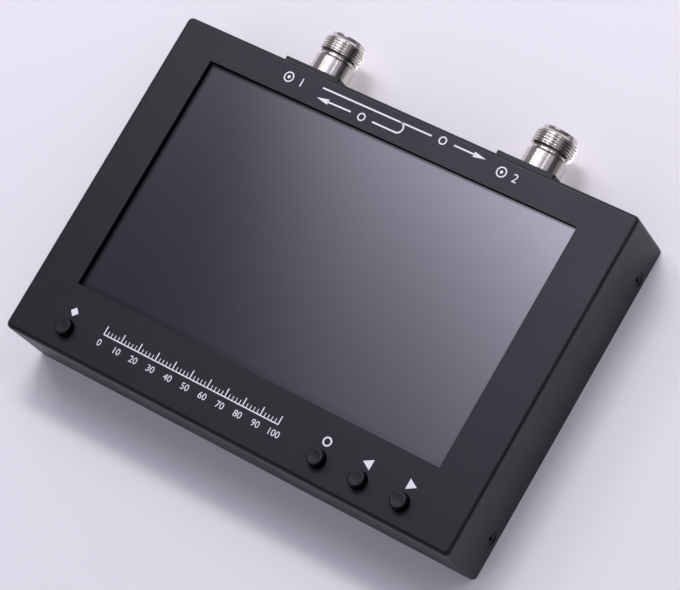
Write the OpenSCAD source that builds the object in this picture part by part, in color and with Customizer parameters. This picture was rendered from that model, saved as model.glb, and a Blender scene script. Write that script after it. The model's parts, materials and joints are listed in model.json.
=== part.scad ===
// Handheld antenna analyzer with a 7 inch touch screen and two N sockets.
// It lies on its back. +X runs to its right-hand side, +Y to the edge with the sockets and
// +Z out of the screen. The origin is the middle of the back, in the plane it rests on.
// All lengths are in millimetres.

/* [Housing] */
// Width of the housing, without the sockets
body_w = 190; // [188:0.5:206]
// Height of the housing, from the key edge to the socket edge
body_h = 128.5; // [127.5:0.5:140]
// Depth of the housing, from the back to the front face
body_d = 30; // [29:0.5:36]
// Thickness of the four side walls
wall_t = 2.5; // [2:0.1:2.8]
// Thickness of the front face
face_t = 2.4; // [2:0.1:2.8]
// Radius of the four upright corners
corner_r = 2; // [2:0.1:6]
// Radius of the rounded front edge
edge_r = 1.5; // [0.5:0.1:1.5]
// Radius of the cavity's upright corners
cavity_r = 1.5; // [0.5:0.1:3]
// Thickness of the webs that tie the corner bosses to the walls
web_t = 1.6; // [1:0.1:2.4]

/* [Screen] */
// Width of the face to the left of the window
window_left = 17.2; // [16.6:0.1:20]
// Width of the face to the right of the window
window_right = 18; // [16.6:0.1:20]
// Width of the face between the window and the socket edge
window_top = 11.9; // [11.5:0.1:14]
// Distance of the window's lower edge from the keys' middle line
window_low = 15.85; // [15.05:0.05:18]
// Radius of the window's corners
window_r = 0.2; // [0.1:0.1:1.2]
// Thickness of the face's lip in front of the glass
lip_t = 1.1; // [0.8:0.1:1.4]
// Thickness of the adhesive frame under the lip
tape_t = 0.2; // [0.1:0.05:0.4]
// Width of the adhesive frame
tape_w = 3.4; // [2:0.1:3.8]
// How far the glass reaches past the window at each side
glass_border = 5; // [4:0.1:5.2]
// How far the glass reaches past the window at the top and the bottom
glass_border_y = 4.1; // [3.9:0.1:4.2]
// Thickness of the touch glass
glass_t = 1.1; // [0.7:0.1:1.3]
// Gap round the glass in its pocket
glass_gap = 0.2; // [0.1:0.05:0.3]

/* [Display] */
// Thickness of the liquid crystal panel
panel_t = 1.6; // [1:0.1:2]
// Thickness of the light guide behind the panel
guide_t = 3; // [2:0.1:3.2]
// Gap between the panel and the tray's walls
panel_gap = 0.2; // [0.1:0.05:0.4]
// Sheet thickness of the backlight tray
tray_sheet = 0.4; // [0.3:0.05:0.6]
// How far the tray stays inside the glass's outline
tray_inset = 0.3; // [0.2:0.1:0.8]
// Sheet thickness of the display brackets
bracket_t = 1.2; // [0.8:0.1:1.4]
// Width of a display bracket along the screen's height
bracket_w = 9; // [8:0.5:12]
// Reach of a display bracket over the tray's back
bracket_lap = 12; // [8:0.5:20]
// Distance of the display bosses above the housing's middle
bracket_up = 35; // [30:1:40]
// Distance of the display bosses below the housing's middle
bracket_down = 22; // [15:1:26]
// Width of the rail that joins a bracket's two lugs
bracket_rail = 7; // [4:0.5:8]
// Gap between a bracket's round ends and the side wall
bracket_gap = 0.4; // [0.2:0.1:1]

/* [Flat cables] */
// Width of the display's flat cable
ribbon_w = 26; // [16:1:34]
// Distance of the display's flat cable to the right of the housing's middle
ribbon_right = 24; // [20:1:30]
// Width of the touch glass's flat cable
touch_w = 10; // [6:1:14]
// Distance of the touch glass's flat cable from the left-hand side
touch_edge = 37; // [29:1:45]
// Thickness of the flat cables
ribbon_t = 0.3; // [0.1:0.05:0.4]
// Outer radius of the flat cables' bends
ribbon_bend = 2; // [1:0.1:2.2]
// How far the flat cables reach out of the glass before they bend
ribbon_out = 0.6; // [0.4:0.1:1]
// Width of the free space beside a flat cable
ribbon_side = 1; // [0.5:0.1:2]
// Depth of the free space above the touch glass's flat cable
ribbon_relief = 0.2; // [0.1:0.05:0.4]
// Height of the sockets on the main board that take the flat cables
socket_h = 2; // [1.5:0.1:2.6]
// Depth of those sockets, along the housing's height
socket_l = 5; // [4:0.5:6]
// How much wider such a socket is than its cable, at each end
socket_side = 1.5; // [1:0.1:2]
// How far those sockets lie above the glass's lower edge
socket_up = 7; // [6:0.5:10]

/* [Keys] */
// Distance of the keys' row from the housing's key edge
keys_edge = 8.95; // [8.6:0.05:9.4]
// Distance of the function key from the left-hand side
fn_edge = 22.4; // [20:0.1:26]
// Distance of the right arrow key from the right-hand side
right_edge = 24; // [22:0.1:30]
// Distance between neighbouring keys on the right
key_pitch = 17; // [16:0.1:19]
// Diameter of a key's cap
key_d = 6.2; // [5:0.1:7]
// Height of a cap above the front face
key_h = 3; // [1:0.1:4]
// Diameter of the collar that keeps a key in the housing
key_collar_d = 8.6; // [8.2:0.1:9]
// Thickness of that collar
key_collar_t = 0.9; // [0.6:0.1:1.2]
// Travel of a key
key_travel = 0.4; // [0.2:0.05:0.5]
// Gap between a key and its hole, all round
key_gap = 0.3; // [0.25:0.05:0.4]
// Depth of the dish in a cap's top
key_dish = 0.1; // [0.1:0.05:0.3]

/* [Sockets] */
// Distance of socket 1 from the left-hand side
port_1_edge = 52.6; // [48:0.1:58]
// Distance of socket 2 from the right-hand side
port_2_edge = 47.5; // [42:0.5:52]
// Height of the sockets' axes above the back
port_z = 14; // [13.4:0.1:14.4]
// Width of a raised pad
pad_w = 23.6; // [20:0.2:26]
// Depth of a raised pad, along the housing's depth
pad_d = 25.6; // [20:0.2:26]
// Height of a raised pad
pad_h = 1.9; // [1:0.1:2.4]
// Radius of a pad's corners
pad_r = 1; // [0.5:0.1:2]
// Outer diameter of the socket's thread, 5/8-24 UNEF
thread_d = 15.7; // [15.6:0.02:15.88]
// Length of the thread, with its bevels at both ends
thread_l = 6.6; // [6:0.1:9]
// Length of the thread's bevel above the groove
thread_lead = 0.9; // [0.2:0.1:1.2]
// Diameter of the smooth barrel under the thread
barrel_d = 15.2; // [14.6:0.1:15.6]
// Length of the smooth barrel, with its bevel
barrel_l = 8.2; // [7:0.1:11]
// Length of the bevel at the barrel's end, beside the groove
barrel_bevel = 0.8; // [0.2:0.1:1]
// Length of the relief groove between barrel and thread
groove_l = 1; // [0.6:0.1:1.6]
// Diameter of the relief groove
groove_d = 12.8; // [12.4:0.1:13.4]
// Diameter of the plain rim in front of the thread
rim_d = 12.8; // [12:0.1:14]
// Length of the plain rim
rim_out = 1.2; // [0.8:0.1:2]
// Bore of the shell
shell_bore = 8.1; // [8:0.02:8.2]
// Depth of the open mouth in front of the insulator
mouth_l = 9.2; // [8.8:0.1:10]
// How far the contact's tip stays behind the rim
tip_back = 4.7; // [4.4:0.1:5.4]
// Diameter of the shank that passes through the wall
shank_d = 12; // [11:0.1:13]
// Length of the shank behind the wall
shank_out = 4.2; // [3.8:0.1:4.6]
// Outer diameter of the centre contact in the mouth
contact_d = 3.05; // [2.9:0.05:3.2]
// Bore of the centre contact, for a 1.6 mm pin
contact_bore = 1.7; // [1.6:0.05:1.8]
// Width of the slots between the contact's four springs
contact_slot = 0.4; // [0.2:0.05:0.5]
// Solid length of the contact under its bore
contact_root = 0.6; // [0.4:0.1:1]
// Diameter of the contact inside the insulator
contact_core = 2.4; // [2:0.1:2.6]
// Diameter of the contact's solder pin
pin_d = 1.2; // [0.8:0.1:1.3]
// Length of the solder pin that lies on the board
pin_on_board = 3.8; // [2:0.1:5]
// Width across the flats of the fixing nut
nut_af = 15; // [14:0.5:16]
// Thickness of the fixing nut
nut_t = 2.5; // [2:0.1:2.6]
// Outer diameter of the toothed washer
washer_d = 16; // [15:0.5:18]
// Thickness of the toothed washer
washer_t = 0.8; // [0.5:0.1:0.9]

/* [Back cover] */
// Sheet thickness of the back cover
cover_t = 1.5; // [1:0.1:2]
// Gap between the cover and the housing's walls
cover_gap = 0.3; // [0.15:0.05:0.5]
// Inner radius of the cover's bends
bend_r = 0.8; // [0.5:0.1:1.2]
// Width of flange above the threaded inserts
flange_edge = 2; // [1:0.1:2.4]
// How far the flanges stay from the cover's ends
flange_end = 7; // [4:0.5:12]
// Gap between the cover's bends and the threaded inserts
insert_rise = 0.1; // [0.1:0.1:0.5]
// Distance of the side screws from the housing's ends
screw_end = 14.45; // [13.45:0.05:18]
// Diameter of a side screw's head
screw_head_d = 5.5; // [5:0.1:5.8]
// How far a side screw's head lies below the wall's face
screw_sunk = 0.35; // [0.1:0.05:0.5]
// Thread diameter of a side screw
screw_d = 3; // [2.5:0.1:3]
// Length of a side screw
screw_l = 8; // [6.5:0.5:9]
// Outer diameter of a threaded insert
insert_d = 6; // [5.5:0.1:6.4]
// Thickness of a threaded insert behind its flange
insert_t = 2.2; // [1.5:0.1:2.6]
// Diameter of an insert's neck in its flange
insert_neck_d = 4; // [3.8:0.1:4.6]
// How far an insert's neck stays back in its flange
insert_short = 0.2; // [0.1:0.05:0.4]
// Length of the relief cut between a flange and the cover's end strip
relief_l = 1; // [0.5:0.1:2]

/* [Main board] */
// Thickness of the main board
board_t = 1.6; // [1:0.1:1.6]
// Gap between the main board's side edges and the walls
board_side = 2.5; // [2.2:0.1:3]
// Distance of the board's lower edge from the wall there
board_low = 1.75; // [1:0.05:2]
// Gap between the sockets' insulators and the board's edge
board_port = 0.3; // [0.1:0.1:0.7]
// Distance of the corner bosses from the side walls
boss_side = 4.9; // [4.6:0.1:6]
// Distance of the corner bosses from the walls at top and bottom
boss_end = 4.5; // [4.4:0.1:6]
// Diameter of a boss
boss_d = 6.5; // [6:0.1:7]
// Gap between the two slim bosses and the wall and display beside them
slim_gap = 0.4; // [0.3:0.05:0.6]
// Height of the shield cans
shield_h = 4; // [2:0.1:5]
// Sheet thickness of the shield cans
shield_sheet = 0.4; // [0.2:0.05:0.6]
// Width of the two shield cans behind the sockets
shield_w = 34; // [28:1:38]
// Length of the two shield cans behind the sockets
shield_l = 32; // [26:1:36]
// Gap between those two and the middle shield can
synth_gap = 9.75; // [5:0.05:12]
// Length of the middle shield can
synth_l = 26; // [20:1:32]
// Diameter of the vents in the shield cans
vent_d = 1.4; // [1:0.1:2]

/* [Screws] */
// Thread diameter of the board and display screws
boss_screw_d = 3; // [2.5:0.1:3]
// Head diameter of the board and display screws
pan_head_d = 5.6; // [5:0.1:5.8]
// Head height of the board and display screws
pan_head_h = 1.8; // [1.2:0.1:2]
// Thread diameter of the small screws, at the slim bosses and the key board
small_screw_d = 2; // [1.6:0.1:2.2]
// Head diameter of the small screws
small_head_d = 3.8; // [3.2:0.1:4.2]
// Head height of the small screws
small_head_h = 1.4; // [1:0.1:1.6]
// Length of a board screw's shank
board_screw_l = 7; // [5:0.5:8]
// How deep the other screws reach into their bosses
screw_bite = 4; // [3:0.1:4.2]
// Depth left free under a screw's end
pilot_spare = 0.5; // [0.3:0.1:0.8]
// Gap between a screw and the board or bracket that it holds
screw_play = 0.2; // [0.1:0.05:0.3]

/* [Key board] */
// Thickness of the key board
key_board_t = 1.6; // [1:0.1:2]
// Depth of the key board, along the housing's height
key_board_w = 10; // [9:0.1:10.4]
// Side of a key switch's square body
switch_w = 6; // [5:0.1:6.4]
// Height of a key switch's body
switch_h = 3.1; // [2.6:0.1:3.6]
// Height of a switch's moving top above its body
actuator_h = 1.4; // [0.8:0.1:1.6]
// Diameter of a switch's moving top
actuator_d = 3.2; // [2.5:0.1:3.5]
// Length of a key's stem between its collar and the switch
stem_l = 1.2; // [0.8:0.1:1.6]
// Depth of the well that a switch's top sinks into
well_depth = 1.2; // [0.9:0.1:1.6]
// Gap between a switch's top and its well
well_gap = 0.1; // [0.05:0.05:0.2]
// Diameter of the bosses that hold the key board
key_boss_d = 4.6; // [4:0.1:5]
// How far the key board reaches past the outer keys
key_board_side = 7; // [5:0.5:9]
// Distance of the left-hand boss from the function key
key_boss_step = 13; // [11:0.5:20]
// Distance of the plug to the main board from the function key
header_step = 36; // [30:1:48]
// Width of that plug
header_w = 12; // [8:0.5:16]
// Depth of that plug, along the housing's height
header_l = 2.5; // [2:0.1:5]

/* [Left side] */
// Distance of the power button above the housing's middle
power_up = 20; // [16:0.5:26]
// Diameter of the power button
power_d = 5; // [4:0.1:5.4]
// How far the power button stands out of the wall
power_out = 1; // [0.6:0.1:1.5]
// Travel of the power button
power_travel = 0.4; // [0.2:0.05:0.5]
// Distance of the power button's middle from the main board
power_rise = 2.6; // [2.6:0.1:3]
// Thickness of the power button's collar
power_collar_t = 0.8; // [0.6:0.1:1]
// Free length of the power switch's moving top
power_stem = 0.6; // [0.5:0.1:1]
// Depth of the power switch's body
power_body = 4; // [3:0.1:5]
// Distance of the charging inlet below the housing's middle
usb_down = 4; // [0:0.5:10]
// Outer width of the charging inlet
usb_w = 8.94; // [8.9:0.01:9]
// Outer height of the charging inlet
usb_h = 3.26; // [3.2:0.01:3.3]
// Length of the charging inlet
usb_l = 7.3; // [7:0.1:8]
// Sheet thickness of the charging inlet
usb_sheet = 0.3; // [0.2:0.05:0.35]
// Distance of the charge light above the housing's middle
light_up = 6; // [4:0.5:10]
// Diameter of the light pipe
light_d = 2; // [1.5:0.1:2.4]
// Distance of the light pipe's middle from the main board
light_rise = 1.4; // [1.3:0.1:2]

/* [Battery] */
// Length of the battery
cell_l = 100; // [80:1:104]
// Width of the battery
cell_w = 58; // [50:1:70]
// Thickness of the battery
cell_t = 7.6; // [5:0.1:7.8]
// How far the battery's middle lies to the left of the housing's middle
cell_left = 12; // [8:1:16]
// How far the battery's middle lies below the housing's middle
cell_down = 4; // [0:1:8]
// Thickness of the adhesive strips under the battery
strip_t = 0.3; // [0.1:0.05:0.4]
// Width of the adhesive strips
strip_w = 10; // [6:1:16]
// How far the crimped end reaches past the battery's body
crimp_l = 6; // [3:0.5:8]
// Thickness of the crimped end
crimp_t = 2; // [1:0.1:3]
// Diameter of each wire of the battery's lead
lead_d = 1.4; // [1:0.1:1.6]
// Length of the battery's lead
lead_l = 9; // [6:0.5:16]
// Distance between the lead's two wires
lead_pitch = 2.5; // [2:0.1:3]
// Length of the lead's plug
plug_l = 4.6; // [4:0.1:6]
// Width of the lead's plug
plug_w = 6; // [5:0.1:8]
// Height of the lead's plug
plug_h = 3.2; // [2.4:0.1:3.6]
// Wall of the socket round the plug
plug_wall = 0.95; // [0.8:0.05:1.2]

/* [Hidden] */
$fn = 64;

housing_black = "#303036";
part_black = "#1d1d20";
steel_grey = "#b4b6ba";
nickel = "#d3cfc7";
gold = "#d9b457";
board_green = "#1f5a3a";
glass_dark = "#202127";
plastic_white = "#efeee8";
film_amber = "#b87a2c";

over = 1;            // how far a cutter runs past the solid that it cuts
fit_gap = 0.05;      // radial gap of a pin or a thread in its hole
slide_gap = 0.15;    // gap between a key's collar and the face behind it

// Planes, as heights above the back
face_in = body_d - face_t;
lip_back = body_d - lip_t;
glass_front = lip_back - tape_t;
glass_back = glass_front - glass_t;
panel_back = glass_back - panel_t;
guide_back = panel_back - guide_t;
tray_back = guide_back - tray_sheet;
bracket_back = tray_back - bracket_t;
board_top = port_z - pin_d / 2;
board_bottom = board_top - board_t;

// Back cover's side flanges and the screws that hold them
screw_z = cover_t + bend_r + insert_rise + insert_d / 2;
flange_h = screw_z + insert_d / 2 + flange_edge;

// Inner faces of the walls
in_x = body_w / 2 - wall_t;
in_y = body_h / 2 - wall_t;

// Screen
window_w = body_w - window_left - window_right;
window_h = body_h - window_top - window_low - keys_edge;
window_x = (window_left - window_right) / 2;
window_y = body_h / 2 - window_top - window_h / 2;
glass_w = window_w + 2 * glass_border;
glass_h = window_h + 2 * glass_border_y;
tray_w = glass_w - 2 * tray_inset;
tray_h = glass_h - 2 * tray_inset;
panel_w = tray_w - 2 * (tray_sheet + panel_gap);
panel_h = tray_h - 2 * (tray_sheet + panel_gap);
glass_low = window_y - glass_h / 2;

// Keys
key_y = -body_h / 2 + keys_edge;
right_x = body_w / 2 - right_edge;
left_x = right_x - key_pitch;
ctrl_x = left_x - key_pitch;
fn_x = -body_w / 2 + fn_edge;
KEY_X = [fn_x, ctrl_x, left_x, right_x];
collar_top = face_in - slide_gap;
collar_back = collar_top - key_collar_t;
switch_tip = collar_back - stem_l;
switch_top = switch_tip - actuator_h;
key_board_top = switch_top - switch_h;
key_board_back = key_board_top - key_board_t;
key_board_up = key_y + key_board_w / 2;
KEY_BOSS_X = [fn_x + key_boss_step, 0, right_x - key_pitch / 2];

// Sockets, along their own axis from the pad's face outwards
port_1_x = -body_w / 2 + port_1_edge;
port_2_x = body_w / 2 - port_2_edge;
pad_y = body_h / 2 + pad_h;
shank_l = pad_h + wall_t + shank_out;
thread_end = barrel_l + groove_l + thread_l;
rim_l = thread_end + rim_out;
insulator_d = shell_bore - 2 * fit_gap;
insulator_out = 0.5;
board_up = in_y - shank_out - insulator_out - board_port;

// Main board
board_w = 2 * (in_x - board_side);
board_down = -in_y + board_low;
boss_x = in_x - boss_side;
boss_y = in_y - boss_end;
slim_top_d = window_top - glass_border_y + tray_inset - wall_t - 2 * slim_gap;
slim_low_d = glass_low - key_board_up - 2 * slim_gap;
slim_top = in_y - slim_gap - slim_top_d / 2;
slim_low = (glass_low + key_board_up) / 2;
BOSSES = [[-boss_x, boss_y], [boss_x, boss_y], [-boss_x, -boss_y], [boss_x, -boss_y]];
SLIM_BOSSES = [[3, slim_top, slim_top_d], [-20, slim_low, slim_low_d]];
DISPLAY_BOSSES = [[-boss_x, bracket_up], [boss_x, bracket_up],
  [-boss_x, -bracket_down], [boss_x, -bracket_down]];
shield_y = board_up - pin_on_board - shield_l / 2 - 1;

// Back cover
cover_w = 2 * (in_x - cover_gap);
cover_h = 2 * (in_y - cover_gap);
screw_y = body_h / 2 - screw_end;

// Left-hand side
power_z = board_top + power_rise;
power_well = 1;
power_pin_d = 2.4;
usb_z = board_top + usb_h / 2;
usb_in = 0.4;
light_z = board_top + light_rise;

// Battery
cell_x = -cell_left;
cell_y = -cell_down;
cell_z = cover_t + strip_t;
lead_x = cell_x + cell_l / 2 + crimp_l;
lead_z = cell_z + cell_t / 2;
plug_x = lead_x + lead_l;

// Flat cables
ribbon_x = ribbon_right;
touch_x = -body_w / 2 + touch_edge;
ribbon_socket_y = glass_low + socket_up;

// ---------- shared shapes ----------

// Rectangle with rounded corners
module soft_rect(w, h, r) {
  square([w - 2 * r, h], center = true);
  square([w, h - 2 * r], center = true);
  for (sx = [-1, 1]) {
    for (sy = [-1, 1]) {
      translate([sx * (w / 2 - r), sy * (h / 2 - r)]) circle(r);
    }
  }
}

// Block with rounded upright corners, standing on z = 0
module soft_block(w, h, d, r) {
  linear_extrude(d) soft_rect(w, h, r);
}

// Block whose upright corners and top edge are rounded
module pillow_block(w, h, d, r, e) {
  rotate([90, 0, 90]) linear_extrude(w - 2 * r, center = true) shoulder_profile(h, d, e);
  rotate([90, 0, 0]) linear_extrude(h - 2 * r, center = true) shoulder_profile(w, d, e);
  for (s = [-1, 1]) {
    for (t = [-1, 1]) {
      translate([s * (w / 2 - r), t * (h / 2 - r), 0]) rotate_extrude() corner_profile(r, d, e);
    }
  }
}

// Upright rectangle with its two upper corners rounded, standing on the axis
module shoulder_profile(w, d, e) {
  translate([-w / 2, 0]) square([w, d - e]);
  translate([-w / 2 + e, 0]) square([w - 2 * e, d]);
  for (s = [-1, 1]) {
    translate([s * (w / 2 - e), d - e]) circle(e);
  }
}

// Half of a post with a rounded shoulder, beside the axis
module corner_profile(r, d, e) {
  square([r, d - e]);
  square([r - e, d]);
  translate([r - e, d - e]) intersection() {
    circle(e);
    square(2 * e);
  }
}

// Flat-ended slot, rounded at both ends, standing on z = 0
module slot(w, h, d) {
  translate([-(w - h) / 2, -h / 2, 0]) cube([w - h, h, d]);
  for (s = [-1, 1]) {
    translate([s * (w - h) / 2, 0, 0]) cylinder(d = h, h = d);
  }
}

// Turns a shape that grows along +Z so that it grows along +X or -X
module toward_x(side) {
  rotate([0, side * 90, 0]) children();
}

// Puts a shape that grows along +Z on the pad's face, growing along +Y
module on_port(x) {
  translate([x, pad_y, port_z]) rotate([-90, 0, 0]) children();
}

// Cross recess for a screwdriver, cut downwards from z = 0, deepest in its middle
module cross_recess(size, depth) {
  arm_w = size * 0.24;
  for (a = [0, 90]) {
    rotate([0, 0, a]) translate([-size / 2, -arm_w / 2, -depth * 0.6])
      cube([size, arm_w, depth * 0.6 + over]);
  }
  translate([0, 0, -depth]) cylinder(d1 = arm_w / 2, d2 = size * 0.64, h = depth);
}

// Pan-head screw: the head's seat lies at z = 0 and the shank grows along +Z
module pan_screw(d, head_d, head_h, l) {
  r = d / 2 - fit_gap;
  soft = head_h * 0.3;
  difference() {
    rotate_extrude() polygon([
      [0, -head_h], [head_d / 2 - soft, -head_h], [head_d / 2, soft - head_h], [head_d / 2, 0],
      [r, 0], [r, l], [0, l]]);
    translate([0, 0, -head_h]) mirror([0, 0, 1]) cross_recess(head_d * 0.55, head_h * 0.6);
  }
}

// Countersunk screw: its flat top lies at z = 0 and the shank grows downwards
module flush_screw(d, head_d, l) {
  r = d / 2 - fit_gap;
  cone = (head_d - d) / 2;
  difference() {
    rotate_extrude() polygon([[0, -l], [r, -l], [r, -cone], [r + cone, 0], [0, 0]]);
    cross_recess(head_d * 0.55, 1.2);
  }
}

// ---------- housing ----------

module cavity() {
  translate([0, 0, -over])
    soft_block(body_w - 2 * wall_t, body_h - 2 * wall_t, face_in + over, cavity_r);
}

module port_pad(x) {
  translate([x, body_h / 2 - wall_t / 2, port_z]) rotate([-90, 0, 0])
    soft_block(pad_w, pad_d, pad_h + wall_t / 2, pad_r);
}

// Screw boss that hangs from the face, with its webs to the nearest walls
module corner_boss(p) {
  sx = sign(p[0]);
  sy = sign(p[1]);
  translate([p[0], p[1], board_top]) cylinder(d = boss_d, h = face_in - board_top + face_t / 2);
  translate([min(p[0], sx * in_x), p[1] - web_t / 2, board_top + web_t])
    cube([boss_side, web_t, face_in - board_top - web_t + face_t / 2]);
  translate([p[0] - web_t / 2, min(p[1], sy * in_y), board_top + web_t])
    cube([web_t, boss_end, face_in - board_top - web_t + face_t / 2]);
}

module display_boss(p) {
  translate([p[0], p[1], tray_back]) cylinder(d = boss_d, h = face_in - tray_back + face_t / 2);
  translate([min(p[0], sign(p[0]) * in_x), p[1] - web_t / 2, tray_back])
    cube([boss_side, web_t, face_in - tray_back + face_t / 2]);
}

module housing_bosses() {
  for (p = BOSSES) {
    corner_boss(p);
  }
  for (p = SLIM_BOSSES) {
    translate([p[0], p[1], board_top])
      cylinder(d = p[2], h = face_in - board_top + face_t / 2);
  }
  for (p = DISPLAY_BOSSES) {
    display_boss(p);
  }
  for (x = KEY_BOSS_X) {
    translate([x, key_y, key_board_top])
      cylinder(d = key_boss_d, h = face_in - key_board_top + face_t / 2);
  }
}

module housing_pilots() {
  pilot_l = board_screw_l - board_t + pilot_spare;
  for (p = BOSSES) {
    translate([p[0], p[1], board_top - over]) cylinder(d = boss_screw_d, h = over + pilot_l);
  }
  for (p = SLIM_BOSSES) {
    translate([p[0], p[1], board_top - over]) cylinder(d = small_screw_d, h = over + pilot_l);
  }
  for (p = DISPLAY_BOSSES) {
    translate([p[0], p[1], tray_back - over])
      cylinder(d = boss_screw_d, h = over + screw_bite + pilot_spare);
  }
  for (x = KEY_BOSS_X) {
    translate([x, key_y, key_board_top - over])
      cylinder(d = small_screw_d, h = over + screw_bite + pilot_spare);
  }
}

module window_cuts() {
  translate([window_x, window_y, 0]) {
    translate([0, 0, face_in - over]) soft_block(window_w, window_h, face_t + 2 * over, window_r);
    translate([0, 0, glass_back - over])
      soft_block(glass_w + 2 * glass_gap, glass_h + 2 * glass_gap, lip_back - glass_back + over, 1.2);
  }
  touch_ribbon_relief();
}

// Shallow pocket in the face's back where the touch glass's flat cable bends away
module touch_ribbon_relief() {
  reach = ribbon_out + ribbon_bend + 2 * ribbon_relief;
  translate([touch_x - touch_w / 2 - ribbon_side, glass_low - reach, face_in - over])
    cube([touch_w + 2 * ribbon_side, reach, over + glass_back + ribbon_relief - face_in]);
}

module key_holes() {
  for (x = KEY_X) {
    translate([x, key_y, face_in - over]) cylinder(d = key_d + 2 * key_gap, h = face_t + 2 * over);
  }
}

module port_holes() {
  for (x = [port_1_x, port_2_x]) {
    on_port(x) translate([0, 0, -pad_h - wall_t - over])
      cylinder(d = shank_d + 2 * fit_gap, h = pad_h + wall_t + 2 * over);
  }
}

module side_screw_holes() {
  cone = (screw_head_d - screw_d) / 2 + screw_sunk;
  for (side = [-1, 1]) {
    for (y = [-screw_y, screw_y]) {
      translate([side * body_w / 2, y, screw_z]) toward_x(side) {
        translate([0, 0, -wall_t - over]) cylinder(d = screw_d, h = wall_t + 2 * over);
        translate([0, 0, -cone]) cylinder(d1 = screw_d, d2 = screw_d + 2 * (cone + over), h = cone + over);
      }
    }
  }
}

module left_side_holes() {
  translate([-body_w / 2 + wall_t + over, 0, 0]) {
    translate([0, power_up, power_z]) toward_x(-1)
      cylinder(d = power_d + 2 * key_gap, h = wall_t + 2 * over);
    translate([0, -usb_down, usb_z]) toward_x(-1) rotate([0, 0, 90])
      slot(usb_w + 0.4, usb_h + 0.4, wall_t + 2 * over);
    translate([0, light_up, light_z]) toward_x(-1)
      cylinder(d = light_d + 2 * fit_gap, h = wall_t + 2 * over);
  }
}

module front_housing() {
  color(housing_black) difference() {
    union() {
      difference() {
        pillow_block(body_w, body_h, body_d, corner_r, edge_r);
        cavity();
      }
      port_pad(port_1_x);
      port_pad(port_2_x);
      housing_bosses();
    }
    window_cuts();
    key_holes();
    port_holes();
    side_screw_holes();
    left_side_holes();
    housing_pilots();
  }
}

// ---------- back cover and its fasteners ----------

// Cover sheet across its width: the floor, two bends and two flanges
module cover_profile() {
  difference() {
    union() {
      translate([-cover_w / 2 + bend_r + cover_t, 0])
        square([cover_w - 2 * (bend_r + cover_t), cover_t]);
      for (s = [-1, 1]) {
        translate([s * (cover_w / 2 - bend_r - cover_t), bend_r + cover_t]) circle(bend_r + cover_t);
        translate([s * (cover_w / 2 - cover_t / 2) - cover_t / 2, bend_r + cover_t])
          square([cover_t, flange_h - bend_r - cover_t]);
      }
    }
    for (s = [-1, 1]) {
      translate([s * (cover_w / 2 - bend_r - cover_t), bend_r + cover_t]) circle(bend_r);
    }
    translate([-cover_w / 2 + bend_r + cover_t, cover_t])
      square([cover_w - 2 * (bend_r + cover_t), 2 * (bend_r + cover_t)]);
    translate([-cover_w / 2 + cover_t, bend_r + cover_t])
      square([cover_w - 2 * cover_t, 2 * (bend_r + cover_t)]);
  }
}

module back_cover() {
  flange_l = cover_h - 2 * flange_end;
  end_l = flange_end - relief_l;
  color(housing_black) difference() {
    union() {
      translate([0, flange_l / 2, 0]) rotate([90, 0, 0]) linear_extrude(flange_l) cover_profile();
      soft_block(cover_w - 2 * (bend_r + cover_t), cover_h, cover_t, cavity_r);
      for (s = [-1, 1]) {
        translate([0, s * (cover_h - end_l) / 2, 0]) soft_block(cover_w, end_l, cover_t, cavity_r);
      }
    }
    for (side = [-1, 1]) {
      for (y = [-screw_y, screw_y]) {
        translate([side * (cover_w / 2 + over), y, screw_z]) toward_x(-side)
          cylinder(d = insert_neck_d, h = cover_t + 2 * over);
      }
    }
  }
}

module clinch_nut() {
  difference() {
    union() {
      cylinder(d = insert_d, h = insert_t);
      translate([0, 0, -cover_t + insert_short])
        cylinder(d = insert_neck_d - 2 * fit_gap, h = cover_t);
    }
    translate([0, 0, -cover_t - over]) cylinder(d = screw_d, h = cover_t + insert_t + 2 * over);
  }
}

module clinch_nuts() {
  color(steel_grey) for (side = [-1, 1]) {
    for (y = [-screw_y, screw_y]) {
      translate([side * (cover_w / 2 - cover_t), y, screw_z]) toward_x(-side) clinch_nut();
    }
  }
}

module side_screws(side) {
  color(part_black) for (y = [-screw_y, screw_y]) {
    translate([side * (body_w / 2 - screw_sunk), y, screw_z]) toward_x(side)
      flush_screw(screw_d, screw_head_d, screw_l);
  }
}

module side_screws_left() {
  side_screws(-1);
}

module side_screws_right() {
  side_screws(1);
}

// ---------- display ----------

module glass_tape() {
  color(part_black) translate([window_x, window_y, glass_front]) difference() {
    soft_block(glass_w - 0.6, glass_h - 0.6, tape_t, 1);
    translate([0, 0, -over])
      soft_block(glass_w - 0.6 - 2 * tape_w, glass_h - 0.6 - 2 * tape_w, tape_t + 2 * over, 1);
  }
}

module touch_glass() {
  color(glass_dark) translate([window_x, window_y, glass_back])
    soft_block(glass_w, glass_h, glass_t, 1);
}

module lcd_panel() {
  color("#15161c") translate([window_x, window_y, panel_back])
    soft_block(panel_w, panel_h, panel_t, 0.3);
}

module light_guide() {
  color(plastic_white) translate([window_x, window_y, guide_back])
    soft_block(panel_w, panel_h, guide_t, 0.3);
}

module backlight_tray() {
  color(steel_grey) translate([window_x, window_y, tray_back]) difference() {
    soft_block(tray_w, tray_h, glass_back - tray_back, 0.6);
    translate([0, 0, tray_sheet])
      soft_block(tray_w - 2 * tray_sheet, tray_h - 2 * tray_sheet, glass_back - tray_back, 0.3);
    ribbon_notch(ribbon_x, ribbon_w);
    ribbon_notch(touch_x, touch_w);
  }
}

// Gap in the tray's lower wall where a ribbon comes out, in the tray's own place
module ribbon_notch(x, w) {
  translate([x - window_x - w / 2 - ribbon_side, -tray_h / 2 - over, tray_sheet])
    cube([w + 2 * ribbon_side, over + 2 * tray_sheet, glass_back - tray_back]);
}

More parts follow.
